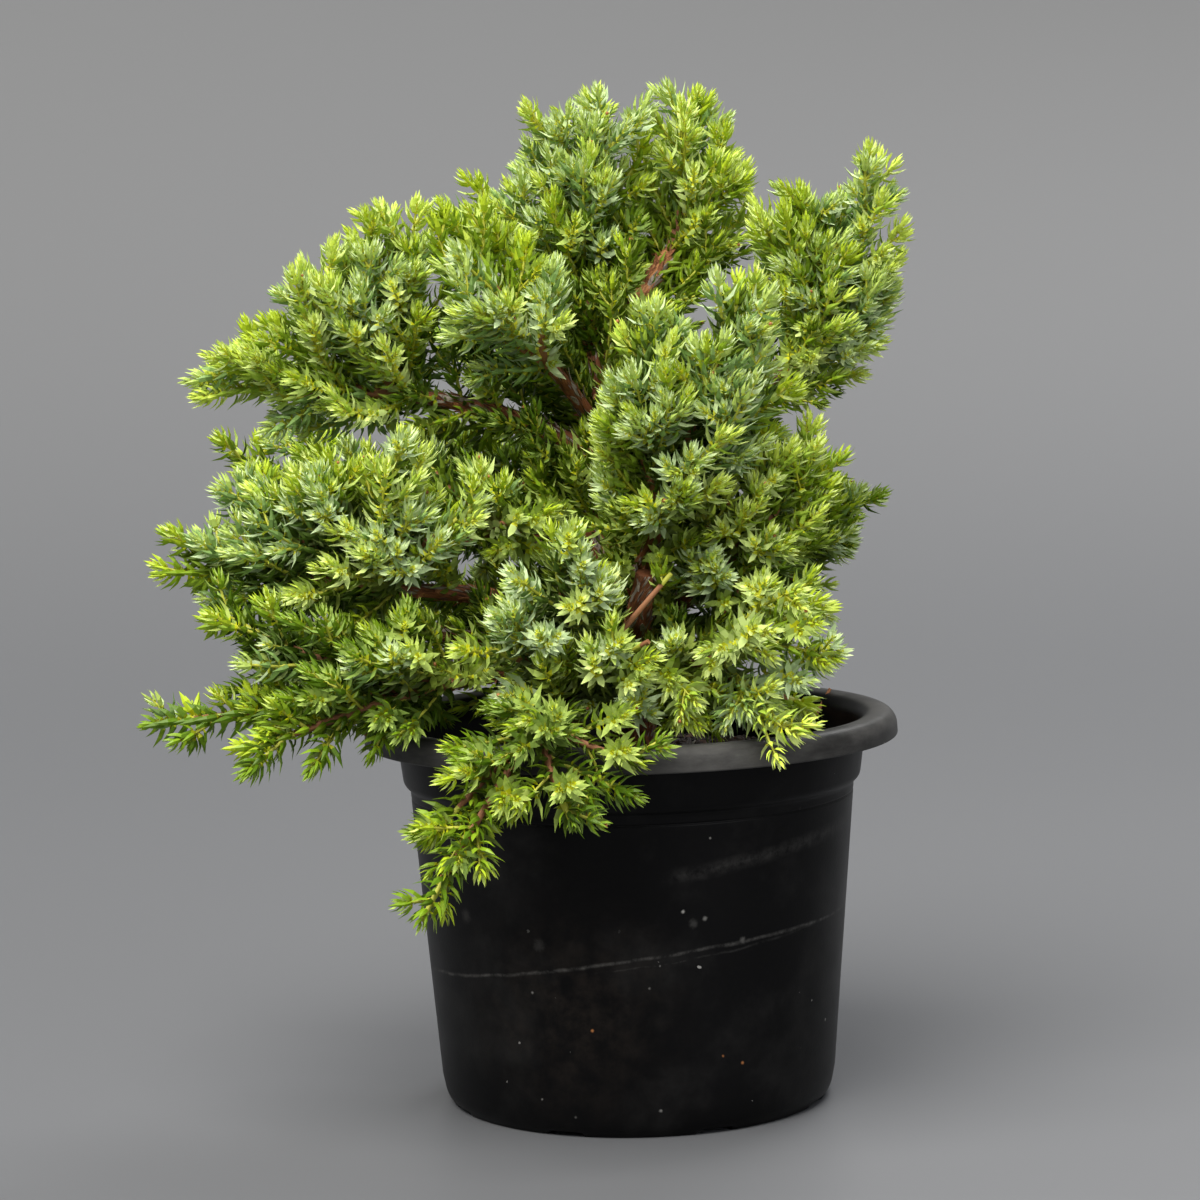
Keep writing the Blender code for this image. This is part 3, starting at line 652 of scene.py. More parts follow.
def maths(tree, operation, *values, clamp=False):
    node = add(tree, "ShaderNodeMath", operation=operation, use_clamp=clamp)
    for socket, value in zip(node.inputs, values):
        if isinstance(value, bpy.types.NodeSocket):
            tree.links.new(value, socket)
        else:
            socket.default_value = value
    return node.outputs[0]


def new_group(name, kind, inputs, outputs):
    """A node group with its named sockets, and its input and output nodes."""
    tree = bpy.data.node_groups.new(name, kind)
    for label, socket_type, value in inputs:
        socket = tree.interface.new_socket(label, in_out="INPUT", socket_type=socket_type)
        if value is not None:
            socket.default_value = value
    for label, socket_type in outputs:
        tree.interface.new_socket(label, in_out="OUTPUT", socket_type=socket_type)
    return tree, tree.nodes.new("NodeGroupInput").outputs, tree.nodes.new("NodeGroupOutput").inputs


def vectors(tree, operation, *values):
    """The result of vector maths: a number for a length or a distance, and otherwise a vector."""
    node = add(tree, "ShaderNodeVectorMath", dict(enumerate(values)), operation=operation)
    return node.outputs["Value" if operation in ("LENGTH", "DISTANCE") else "Vector"]


def parted(tree, vector):
    """The X, Y and Z of a vector, and how far it lies from the Z axis."""
    axes = add(tree, "ShaderNodeSeparateXYZ", {"Vector": vector}).outputs
    flat = add(tree, "ShaderNodeCombineXYZ", {"X": axes[0], "Y": axes[1]}).outputs[0]
    return axes, vectors(tree, "LENGTH", flat)


def named(tree, label):
    return add(tree, "GeometryNodeInputNamedAttribute", {"Name": label}, data_type="FLOAT").outputs["Attribute"]


def stored(tree, geometry, label, value):
    """The geometry, with a number kept on each of its points."""
    return add(tree, "GeometryNodeStoreNamedAttribute", {
        "Geometry": geometry, "Name": label, "Value": value,
    }, data_type="FLOAT", domain="POINT").outputs[0]


def chance(tree, low, high, seed):
    """A random number between two, or a random vector between two vectors."""
    vector = isinstance(low, tuple)
    node = add(tree, "FunctionNodeRandomValue", {
        0 if vector else 2: low, 1 if vector else 3: high, "Seed": seed,
    }, data_type="FLOAT_VECTOR" if vector else "FLOAT")
    return node.outputs[0 if vector else 1]


def copies(tree, points, shape, rotation, size):
    """A shape's copies on points, as plain geometry."""
    source = add(tree, "GeometryNodeObjectInfo", {"Object": shape}, transform_space="ORIGINAL")
    placed = add(tree, "GeometryNodeInstanceOnPoints", {
        "Points": points, "Instance": source.outputs["Geometry"], "Rotation": rotation, "Scale": size,
    })
    return add(tree, "GeometryNodeRealizeInstances", {"Geometry": placed.outputs[0]}).outputs[0]


def painted(tree, geometry, paint, selection=None):
    made = add(tree, "GeometryNodeSetMaterial", {"Geometry": geometry, "Material": paint})
    if selection is not None:
        tree.links.new(selection, made.inputs["Selection"])
    return made.outputs[0]


def grown_mesh(name, tree, source, values):
    """The plain mesh that a tree of geometry nodes makes from a source object."""
    modifier = source.modifiers.new(name, "NODES")
    modifier.node_group = tree
    sockets = {item.name: item.identifier for item in tree.interface.items_tree if item.in_out == "INPUT"}
    for label, value in values.items():
        modifier[sockets[label]] = value
    graph = bpy.context.evaluated_depsgraph_get()
    mesh = bpy.data.meshes.new_from_object(source.evaluated_get(graph), depsgraph=graph)
    source.modifiers.remove(modifier)
    mesh.name = name
    return mesh


def finished(bm, name):
    """The mesh of what was built, which is then freed."""
    mesh = bpy.data.meshes.new(name)
    bm.to_mesh(mesh)
    bm.free()
    return mesh


def link_object(name, mesh):
    obj = bpy.data.objects.new(name, mesh)
    bpy.context.scene.collection.objects.link(obj)
    return obj


def drop(*objects):
    for obj in objects:
        bpy.data.objects.remove(obj)


def keep(obj, nodes=()):
    """Makes a finished piece part of the plant."""
    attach(obj, BODY)
    if nodes:
        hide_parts(*nodes)
    return obj


def plain_material(name, colour, roughness, specular=0.5):
    made = bpy.data.materials.new(name)
    made.use_nodes = True
    shader = made.node_tree.nodes["Principled BSDF"]
    shader.inputs["Base Color"].default_value = (*colour, 1.0)
    shader.inputs["Roughness"].default_value = roughness
    shader.inputs["Specular IOR Level"].default_value = specular
    return made


# Needles


def needle_mesh():
    """One awl-shaped needle along +Z: a flat upper face towards -X, and a keel behind it."""
    bm = bmesh.new()
    root = bm.verts.new((0, 0, 0))
    tip = bm.verts.new((-1.0 * MM, 0, NEEDLE_LENGTH))
    rings = []
    for share, wide, deep, back in NEEDLE_RINGS:
        high = NEEDLE_LENGTH * share
        half = NEEDLE_WIDTH / 2 * wide
        corners = ((back, -half, high), (back, half, high), (back + NEEDLE_KEEL * deep, 0, high))
        rings.append([bm.verts.new(corner) for corner in corners])
    upper = bm.faces.layers.int.new("upper")
    low = bm.faces.layers.int.new("low")
    for i in range(3):
        j = (i + 1) % 3
        faces = [
            bm.faces.new((root, rings[0][j], rings[0][i])),
            bm.faces.new((rings[0][i], rings[0][j], rings[1][j], rings[1][i])),
            bm.faces.new((rings[1][i], rings[1][j], tip)),
        ]
        faces[0][low] = 1
        for face in faces:
            face[upper] = int(i == 0)
    bmesh.ops.recalc_face_normals(bm, faces=bm.faces)
    return finished(bm, "needle")


def twig_lines(name, twigs):
    """A mesh of loose edges along the twigs, whose points carry what the node trees read."""
    points = []
    edges = []
    values = {"thick": [], "young": [], "vigour": [], "woody": [], "open": [], "inner": []}
    for twig in twigs:
        first = len(points)
        count = len(twig.points)
        edges += [(first + i, first + i + 1) for i in range(count - 1)]
        points += [tuple(p) for p in twig.points]
        room = off_pot(np.array(twig.points))
        bare = in_hollows(np.array(twig.points))
        height = twig.points[0].z
        size = 1.14 - 0.05 * twig.order - 0.06 * min(1, max(0, (height - 110 * MM) / (70 * MM)))
        for i in range(count):
            share = i / (count - 1)
            if twig.radii:
                thick = twig.radii[i]
            else:
                start = TWIG_RADIUS * (1.25 - 0.25 * twig.order)
                thick = start + (TWIG_TIP_RADIUS - start) * share
            values["thick"].append(thick)
            values["young"].append(twig.young)
            values["open"].append(twig.open_share)
            values["inner"].append(twig.inner[i])
            values["vigour"].append(size * min(1, max(0.3, room[i] / (5 * MM))))
            values["woody"].append(1.0 if thick > 0.8 * MM or bare[i] or twig.tint == "dry" else 0.0)
    mesh = bpy.data.meshes.new(name)
    mesh.from_pydata(points, edges, [])
    for label, numbers in values.items():
        mesh.attributes.new(label, "FLOAT", "POINT").data.foreach_set("value", numbers)
    return link_object(name, mesh)


def needle_tree():
    """Whorls of three needles along every line, folding up to a bud at its tip."""
    tree, ins, outs = new_group("needle_whorls", "GeometryNodeTree", [
        ("Lines", "NodeSocketGeometry", None),
        ("Needle", "NodeSocketObject", None),
        ("Spacing", "NodeSocketFloat", WHORL_SPACING),
        ("Splay", "NodeSocketFloat", math.radians(NEEDLE_SPLAY)),
        ("Bud splay", "NodeSocketFloat", math.radians(BUD_SPLAY)),
        ("Open splay", "NodeSocketFloat", math.radians(OPEN_SPLAY)),
        ("Bud reach", "NodeSocketFloat", BUD_REACH),
        ("Bud length", "NodeSocketFloat", BUD_LENGTH),
        ("Bud spacing", "NodeSocketFloat", BUD_SPACING),
        ("Seed", "NodeSocketInt", 3),
        ("Back", "NodeSocketMaterial", None),
        ("Upper", "NodeSocketMaterial", None),
        ("Young back", "NodeSocketMaterial", None),
        ("Young upper", "NodeSocketMaterial", None),
        ("Root", "NodeSocketMaterial", None),
        ("Shaded back", "NodeSocketMaterial", None),
        ("Shaded upper", "NodeSocketMaterial", None),
    ], [("Needles", "NodeSocketGeometry")])
    curves = add(tree, "GeometryNodeMeshToCurve", {"Mesh": ins["Lines"]})
    whole = add(tree, "GeometryNodeSplineLength").outputs["Length"]
    done = add(tree, "GeometryNodeSplineParameter").outputs["Length"]
    left = maths(tree, "SUBTRACT", whole, done)
    bud_start = maths(tree, "MAXIMUM", maths(tree, "SUBTRACT", whole, ins["Bud length"]), 0.0)
    tips = add(tree, "GeometryNodeTrimCurve", {0: curves.outputs[0], 4: bud_start, 5: whole}, mode="LENGTH")
    leafy = add(tree, "GeometryNodeTrimCurve", {0: curves.outputs[0], 4: 0.0, 5: bud_start}, mode="LENGTH")
    even = add(tree, "GeometryNodeJoinGeometry")
    for part, spacing in ((leafy, ins["Spacing"]), (tips, ins["Bud spacing"])):
        spaced = add(tree, "GeometryNodeResampleCurve", {"Curve": part.outputs[0], "Length": spacing}, mode="LENGTH")
        beyond = maths(tree, "MULTIPLY", 1.0 if part is leafy else 0.0, ins["Bud length"])
        reach = stored(tree, spaced.outputs[0], "to_tip", maths(tree, "ADD", left, beyond))
        tree.links.new(reach, even.inputs[0])
    order = add(tree, "GeometryNodeInputIndex").outputs[0]
    whorls = stored(tree, even.outputs[0], "parity", maths(tree, "MODULO", order, 2.0))
    spots = add(tree, "GeometryNodeCurveToPoints", {"Curve": whorls}, mode="EVALUATED").outputs
    threes = add(tree, "GeometryNodeDuplicateElements", {"Geometry": spots["Points"], "Amount": 3}, domain="POINT")
    third = maths(tree, "MULTIPLY", threes.outputs["Duplicate Index"], 2 * math.pi / 3)
    half = maths(tree, "MULTIPLY", named(tree, "parity"), math.pi / 3)

    def uneven(low, high, shift):
        return chance(tree, low, high, maths(tree, "ADD", ins["Seed"], shift))

    turn = maths(tree, "ADD", maths(tree, "ADD", third, half), uneven(-0.22, 0.22, 1))
    near = maths(tree, "DIVIDE", named(tree, "to_tip"), ins["Bud reach"], clamp=True)
    wide = maths(tree, "SUBTRACT", ins["Splay"], ins["Bud splay"])
    opened = maths(tree, "MULTIPLY_ADD", named(tree, "open"), ins["Open splay"], ins["Bud splay"])
    splay = maths(tree, "ADD", maths(tree, "MULTIPLY_ADD", wide, near, opened), uneven(-0.15, 0.15, 2))
    small = maths(tree, "MULTIPLY_ADD", near, 0.50, 0.50)
    size = maths(tree, "MULTIPLY", maths(tree, "MULTIPLY", small, named(tree, "vigour")), uneven(0.82, 1.14, 3))
    round_axis = add(tree, "FunctionNodeAxisAngleToRotation", {"Axis": (0, 0, 1), "Angle": turn})
    lean = add(tree, "FunctionNodeAxisAngleToRotation", {"Axis": (0, 1, 0), "Angle": splay})
    rotation = spots["Rotation"]
    for step in (round_axis, lean):
        rotation = add(tree, "FunctionNodeRotateRotation", {
            "Rotation": rotation, "Rotate By": step.outputs[0],
        }, rotation_space="LOCAL").outputs[0]
    # Painted shade: needles deeper in their mass than the shade depth, give or take a little, take the darkened back
    # and upper colours
    needle_shade = maths(tree, "ADD", named(tree, "inner"), uneven(-0.25, 0.25, 4))
    aged = stored(tree, threes.outputs["Geometry"], "aged", needle_shade)
    geometry = copies(tree, aged, ins["Needle"], rotation, size)
    is_upper = maths(tree, "GREATER_THAN", named(tree, "upper"), 0.5)
    is_young = maths(tree, "LESS_THAN", named(tree, "to_tip"), named(tree, "young"))
    both = maths(tree, "MULTIPLY", is_upper, is_young)
    is_low = maths(tree, "GREATER_THAN", named(tree, "low"), 0.5)
    painted_shade = maths(tree, "GREATER_THAN", named(tree, "aged"), 1.0)
    shaded_upper = maths(tree, "MULTIPLY", is_upper, painted_shade)
    for selection, label in (
        (None, "Back"), (is_upper, "Upper"), (is_young, "Young back"), (both, "Young upper"), (is_low, "Root"),
        (painted_shade, "Shaded back"), (shaded_upper, "Shaded upper"),
    ):
        geometry = painted(tree, geometry, ins[label], selection)
    tree.links.new(geometry, outs["Needles"])
    return tree


def twig_tree():
    """Round twigs along every line, of its own thickness: bark low down, green bark near the tips."""
    tree, ins, outs = new_group("twig_skins", "GeometryNodeTree", [
        ("Lines", "NodeSocketGeometry", None),
        ("Sides", "NodeSocketInt", 5),
        ("Bark", "NodeSocketMaterial", None),
        ("Green bark", "NodeSocketMaterial", None),
    ], [("Twigs", "NodeSocketGeometry")])
    curves = add(tree, "GeometryNodeMeshToCurve", {"Mesh": ins["Lines"]})
    ring = add(tree, "GeometryNodeCurvePrimitiveCircle", {"Resolution": ins["Sides"], "Radius": 1.0})
    sized = add(tree, "GeometryNodeSetCurveRadius", {"Curve": curves.outputs[0], "Radius": named(tree, "thick")})
    skin = add(tree, "GeometryNodeCurveToMesh", {
        "Curve": sized.outputs[0], "Profile Curve": ring.outputs[0], "Fill Caps": True,
    })
    if "Scale" in skin.inputs:
        tree.links.new(add(tree, "GeometryNodeInputRadius").outputs[0], skin.inputs["Scale"])
    smooth = add(tree, "GeometryNodeSetShadeSmooth", {"Geometry": skin.outputs[0], "Shade Smooth": True})
    green = painted(tree, smooth.outputs[0], ins["Green bark"])
    woody = maths(tree, "GREATER_THAN", named(tree, "woody"), 0.5)
    tree.links.new(painted(tree, green, ins["Bark"], woody), outs["Twigs"])
    return tree


def make_foliage(twigs, masses):
    """Pieces of needles, one tint each, along the twigs that carry them."""
    needle = link_object("needle", needle_mesh())
    tree = needle_tree()
    nodes = ["foliage_" + name for name in masses]
    for tint, colours in TINTS.items():
        labels = ("back", "upper", "young_back", "young_upper", "root")
        paints = [
            plain_material(f"{tint}_needle_{label}", colour, 0.42 if "back" in label else 0.6, 0.22)
            for label, colour in zip(labels, colours)
        ]
        # Darkened copies of the back and upper colours, painted as shade inside the crown
        paints += [
            plain_material(f"{tint}_shaded_needle_{label}", [share * c for share, c in zip(INNER_SHADE, colour)], 0.5, 0.2)
            for label, colour in zip(("back", "upper"), colours)
        ]
        batches = [[]]
        load = 0
        for twig in (t for t in twigs if t.tint == tint):
            needles = 3 * ((twig.length() - BUD_LENGTH) / WHORL_SPACING + BUD_LENGTH / BUD_SPACING + 2)
            if load + needles > MOST_NEEDLES_IN_PIECE:
                batches.append([])
                load = 0
            batches[-1].append(twig)
            load += needles
        for i, batch in enumerate(batches):
            if not batch:
                continue
            name = f"needles_{tint}_{i + 1}"
            lines = twig_lines(name + "_lines", batch)
            mesh = grown_mesh(name, tree, lines, {
                "Needle": needle, "Seed": i + 7 * len(tint),
                "Back": paints[0], "Upper": paints[1], "Young back": paints[2], "Young upper": paints[3],
                "Root": paints[4], "Shaded back": paints[5], "Shaded upper": paints[6],
            })
            keep(link_object(name, mesh), nodes)
            drop(lines)
    drop(needle)


def bud_tree():
    """A small bud on every point, turned and sized at random."""
    tree, ins, outs = new_group("tip_buds", "GeometryNodeTree", [
        ("Tips", "NodeSocketGeometry", None),
        ("Bud", "NodeSocketObject", None),
        ("Seed", "NodeSocketInt", 1),
        ("Paint", "NodeSocketMaterial", None),
    ], [("Buds", "NodeSocketGeometry")])
    points = add(tree, "GeometryNodeMeshToPoints", {"Mesh": ins["Tips"]})
    turn = chance(tree, (-0.5, -0.5, 0.0), (0.5, 0.5, 6.28), ins["Seed"])
    buds = copies(tree, points.outputs[0], ins["Bud"], turn, chance(tree, 0.7, 1.3, ins["Seed"]))
    tree.links.new(painted(tree, buds, ins["Paint"]), outs["Buds"])
    return tree


def make_buds(twigs, paint):
    """Orange-brown buds at the ends of some twigs."""
    dice = random.Random(12)
    tips = []
    for twig in twigs:
        if twig.order > 0 and dice.random() < BUD_SHARE:
            onward = (twig.points[-1] - twig.points[-2]).normalized()
            tips.append(twig.points[-1] + onward * 1.6 * MM)
    mesh = bpy.data.meshes.new("tips")
    mesh.from_pydata([tuple(p) for p in tips], [], [])
    source = link_object("tips", mesh)
    bud = link_object("bud", lump_mesh(0.5 * MM, 9))
    made = grown_mesh("tip_buds", bud_tree(), source, {"Bud": bud, "Seed": 5, "Paint": paint})
    made.shade_smooth()
    keep(link_object("tip_buds", made))
    drop(source, bud)


# Materials


def value_noise(tree, coordinates, scale, detail=3.0, roughness=0.55, stretch=(1, 1, 1)):
    """Noise at so many bumps to the metre, stretched along an axis where stretch is under 1."""
    mapped = add(tree, "ShaderNodeMapping", {"Vector": coordinates, "Scale": stretch})
    return add(tree, "ShaderNodeTexNoise", {
        "Vector": mapped.outputs[0], "Scale": scale, "Detail": detail, "Roughness": roughness,
    }).outputs["Fac"]


def ramp(tree, value, low, high):
    """0 below low, 1 above high, smooth between."""
    return add(tree, "ShaderNodeMapRange", {
        "Value": value, "From Min": low, "From Max": high,
    }, interpolation_type="SMOOTHSTEP").outputs["Result"]


def mixed(tree, share, a, b):
    node = add(tree, "ShaderNodeMix", data_type="RGBA")
    for socket, value in ((node.inputs["Factor"], share), (node.inputs[6], a), (node.inputs[7], b)):
        if isinstance(value, bpy.types.NodeSocket):
            tree.links.new(value, socket)
        elif isinstance(value, (int, float)):
            socket.default_value = value
        else:
            socket.default_value = (*value, 1.0)
    return node.outputs[2]


def dust_group():
    """Fine dust: scattered specks and a thin cloudy film, as a mask."""
    tree, ins, outs = new_group("dust", "ShaderNodeTree", [
        ("Vector", "NodeSocketVector", None),
        ("Speck scale", "NodeSocketFloat", 300.0),
        ("Speck size", "NodeSocketFloat", 0.2),
        ("Film scale", "NodeSocketFloat", 60.0),
        ("Film", "NodeSocketFloat", 0.2),
    ], [("Mask", "NodeSocketFloat")])
    uneven = add(tree, "ShaderNodeTexNoise", {"Vector": ins["Vector"], "Scale": 900.0, "Detail": 2.0}).outputs["Color"]
    spots = vectors(tree, "ADD", ins["Vector"], vectors(tree, "MULTIPLY", uneven, (0.0011, 0.0011, 0.0011)))
    cells = add(tree, "ShaderNodeTexVoronoi", {"Vector": spots, "Scale": ins["Speck scale"]}, feature="F1")
    parts = add(tree, "ShaderNodeSeparateColor", {"Color": cells.outputs["Color"]}).outputs
    size = maths(tree, "MULTIPLY", maths(tree, "POWER", parts[0], 14.0), ins["Speck size"])
    speck = maths(tree, "MULTIPLY", maths(tree, "GREATER_THAN", size, cells.outputs["Distance"]), parts[1])
    film = add(tree, "ShaderNodeTexNoise", {
        "Vector": ins["Vector"], "Scale": ins["Film scale"], "Detail": 5.0, "Roughness": 0.65,
    }).outputs["Fac"]
    cloudy = maths(tree, "MULTIPLY", ramp(tree, film, 0.45, 0.8), ins["Film"])
    tree.links.new(maths(tree, "MAXIMUM", maths(tree, "MULTIPLY", speck, 0.8), cloudy), outs["Mask"])
    return tree


def scratch_group():
    """A thin pale rub along a bowed line on the front of a round wall, broken up by noise."""
    tree, ins, outs = new_group("rubbed_line", "ShaderNodeTree", [
        ("Vector", "NodeSocketVector", None),
        ("Height", "NodeSocketFloat", 0.04),
        ("Slope", "NodeSocketFloat", 0.1),
        ("Bow", "NodeSocketFloat", 2.0),
        ("Width", "NodeSocketFloat", 0.0005),
        ("Left", "NodeSocketFloat", -0.05),
    ], [("Mask", "NodeSocketFloat")])
    place = add(tree, "ShaderNodeSeparateXYZ", {"Vector": ins["Vector"]}).outputs
    bowed = maths(tree, "MULTIPLY", maths(tree, "MULTIPLY", place[0], place[0]), ins["Bow"])
    line = maths(tree, "ADD", maths(tree, "MULTIPLY_ADD", place[0], ins["Slope"], ins["Height"]), bowed)
    uneven = maths(tree, "MULTIPLY", value_noise(tree, ins["Vector"], 130.0, 2.0), 0.0010)
    away = maths(tree, "ABSOLUTE", maths(tree, "SUBTRACT", maths(tree, "SUBTRACT", place[2], line), uneven))
    near = maths(tree, "SUBTRACT", 1.0, maths(tree, "DIVIDE", away, ins["Width"]), clamp=True)
    front = maths(tree, "MULTIPLY", maths(tree, "LESS_THAN", place[1], -0.005), ramp(
        tree, maths(tree, "SUBTRACT", place[0], ins["Left"]), -0.004, 0.006))
    broken = ramp(tree, value_noise(tree, ins["Vector"], 340.0, 5.0, 0.75), 0.30, 0.72)
    tree.links.new(maths(tree, "MULTIPLY", maths(tree, "MULTIPLY", near, front), broken), outs["Mask"])
    return tree


def patch_group():
    """A cloudy patch round one place."""
    tree, ins, outs = new_group("cloudy_patch", "ShaderNodeTree", [
        ("Vector", "NodeSocketVector", None),
        ("Centre", "NodeSocketVector", None),
        ("Radius", "NodeSocketFloat", 0.015),
    ], [("Mask", "NodeSocketFloat")])
    away = vectors(tree, "DISTANCE", ins["Vector"], ins["Centre"])
    near = maths(tree, "SUBTRACT", 1.0, maths(tree, "DIVIDE", away, ins["Radius"]), clamp=True)
    cloud = ramp(tree, value_noise(tree, ins["Vector"], 170.0, 5.0, 0.7), 0.35, 0.75)
    tree.links.new(maths(tree, "MULTIPLY", near, cloud), outs["Mask"])
    return tree


def spot_group():
    """One small uneven spot of dried dirt."""
    tree, ins, outs = new_group("dried_spot", "ShaderNodeTree", [
        ("Vector", "NodeSocketVector", None),
        ("Centre", "NodeSocketVector", None),
        ("Radius", "NodeSocketFloat", 0.0006),
        ("Strength", "NodeSocketFloat", 0.8),
    ], [("Mask", "NodeSocketFloat")])
    away = vectors(tree, "DISTANCE", ins["Vector"], ins["Centre"])
    uneven = maths(tree, "MULTIPLY", value_noise(tree, ins["Vector"], 1400.0, 3.0, 0.7), ins["Radius"])
    share = maths(tree, "DIVIDE", maths(tree, "ADD", away, uneven), ins["Radius"])
    near = maths(tree, "SUBTRACT", 1.0, ramp(tree, share, 0.55, 1.5))
    tree.links.new(maths(tree, "MULTIPLY", near, ins["Strength"]), outs["Mask"])
    return tree


def strongest(tree, masks):
    whole = masks[0]
    for mask in masks[1:]:
        whole = maths(tree, "MAXIMUM", whole, mask)
    return whole


def new_material(name):
    made = bpy.data.materials.new(name)
    made.use_nodes = True
    tree = made.node_tree
    place = add(tree, "ShaderNodeTexCoord").outputs["Object"]
    return made, tree, tree.nodes["Principled BSDF"], place


def with_group(tree, group, inputs):
    return add(tree, "ShaderNodeGroup", inputs, node_tree=group)


def bump(tree, shader, height, distance, strength=1.0):
    made = add(tree, "ShaderNodeBump", {"Height": height, "Distance": distance, "Strength": strength})
    tree.links.new(made.outputs[0], shader.inputs["Normal"])


def black_plastic(dust, scratch, patch, spot):
    """Moulded black plastic: satin, a little dusty, greyed on the rim by dust and a painted highlight, with rubs and
    spots of dirt.
    """
    made, tree, shader, place = new_material("black_plastic_satin")
    film = with_group(tree, dust, {
        "Vector": place, "Speck scale": 330.0, "Speck size": 0.16, "Film scale": 38.0, "Film": 0.030,
    }).outputs[0]
    rubs = [
        maths(tree, "MULTIPLY", with_group(tree, scratch, {
            "Vector": place, "Height": height * MM, "Slope": slope, "Bow": bow, "Width": width * MM, "Left": left * MM,
        }).outputs[0], share)
        for height, slope, bow, width, left, share in POT_RUBS
    ]
    spots = {
        colour: strongest(tree, [
            with_group(tree, spot, {
                "Vector": place, "Centre": tuple(c * MM for c in centre), "Radius": radius * MM, "Strength": share,
            }).outputs[0]
            for centre, radius, share in places
        ])
        for colour, places in POT_SPOTS.items()
    }
    smear = maths(tree, "MULTIPLY", with_group(tree, patch, {
        "Vector": place, "Centre": (-0.016, -0.048, 0.031), "Radius": 0.032,
    }).outputs[0], 0.15)
    axes, off_axis = parted(tree, place)
    # Painted highlight and dust: the outer rim is painted a lighter, rougher grey
    on_rim = maths(tree, "MULTIPLY", ramp(tree, axes[2], 0.0880, 0.0888), ramp(tree, off_axis, 0.0570, 0.0590))
    uneven = ramp(tree, value_noise(tree, place, 120.0, 5.0, 0.7, (0.5, 0.5, 1.6)), 0.15, 0.80)
    rim_highlight_and_dust = maths(tree, "MULTIPLY", on_rim, maths(tree, "MULTIPLY_ADD", uneven, 0.17, 0.045))
    marks = strongest(tree, [film, *rubs, rim_highlight_and_dust, spots["pale"]])
    brown = mixed(tree, smear, (0.0020, 0.0020, 0.0022), (0.085, 0.066, 0.052))
    greyed = mixed(tree, marks, brown, (0.330, 0.322, 0.308))
    tree.links.new(mixed(tree, spots["orange"], greyed, (0.420, 0.170, 0.060)), shader.inputs["Base Color"])
    cloudy = value_noise(tree, place, 45.0, 4.0, 0.6)
    shader.inputs["Specular IOR Level"].default_value = 0.10
    rough = maths(tree, "MULTIPLY_ADD", cloudy, 0.20, 0.30)
    tree.links.new(maths(tree, "ADD", rough, maths(tree, "MULTIPLY", marks, 0.4)), shader.inputs["Roughness"])
    rings = value_noise(tree, place, 300.0, 2.0, 0.5, (0.08, 0.08, 1.0))
    grain = value_noise(tree, place, 1500.0, 2.0)
    bump(tree, shader, maths(tree, "MULTIPLY_ADD", rings, 0.5, maths(tree, "MULTIPLY", grain, 0.35)), 0.06 * MM)
    return made


def fibre_group():
    """Fibres along a UV map's V: their height, the dark cracks between them, and the strips that have peeled."""
    tree, ins, outs = new_group("bark_fibres", "ShaderNodeTree", [
        ("Vector", "NodeSocketVector", None),
        ("Peel", "NodeSocketFloat", 0.5),
    ], [("Height", "NodeSocketFloat"), ("Cracks", "NodeSocketFloat"), ("Peeled", "NodeSocketFloat")])
    fine = value_noise(tree, ins["Vector"], 2400.0, 4.0, 0.65, (1.0, 0.09, 1.0))
    wide = value_noise(tree, ins["Vector"], 900.0, 3.0, 0.6, (1.0, 0.12, 1.0))
    level = maths(tree, "SUBTRACT", 0.80, maths(tree, "MULTIPLY", ins["Peel"], 0.5))
    peeled = ramp(tree, wide, level, maths(tree, "ADD", level, 0.06))
    tree.links.new(maths(tree, "MULTIPLY_ADD", peeled, 0.7, maths(tree, "MULTIPLY", fine, 0.8)), outs["Height"])
    tree.links.new(maths(tree, "SUBTRACT", 1.0, ramp(tree, fine, 0.36, 0.50)), outs["Cracks"])
    tree.links.new(peeled, outs["Peeled"])
    return tree


def bark_material(name, fibres, peel, under, over):
    """Red-brown bark with dark cracks and thin grey strips peeling off it."""
    made, tree, shader, place = new_material(name)
    around = add(tree, "ShaderNodeUVMap", uv_map="UVMap").outputs[0]
    skin = with_group(tree, fibres, {"Vector": around, "Peel": peel}).outputs
    patches = value_noise(tree, place, 160.0, 4.0, 0.6)
    warm = mixed(tree, ramp(tree, patches, 0.35, 0.7), under, tuple(c * 0.5 for c in under))
    dark = mixed(tree, maths(tree, "MULTIPLY", skin["Cracks"], 0.85), warm, (0.030, 0.014, 0.008))
    high = ramp(tree, add(tree, "ShaderNodeSeparateXYZ", {"Vector": place}).outputs[2], *YOUNG_BARK)
    aged = mixed(tree, skin["Peeled"], dark, over)
    young = mixed(tree, maths(tree, "MULTIPLY", skin["Cracks"], 0.5), (0.560, 0.250, 0.100), (0.300, 0.110, 0.045))
    tree.links.new(mixed(tree, high, aged, young), shader.inputs["Base Color"])
    tree.links.new(maths(tree, "MULTIPLY_ADD", skin["Peeled"], 0.12, 0.72), shader.inputs["Roughness"])
    shader.inputs["Specular IOR Level"].default_value = 0.3
    bump(tree, shader, skin["Height"], 0.5 * MM)
    return made


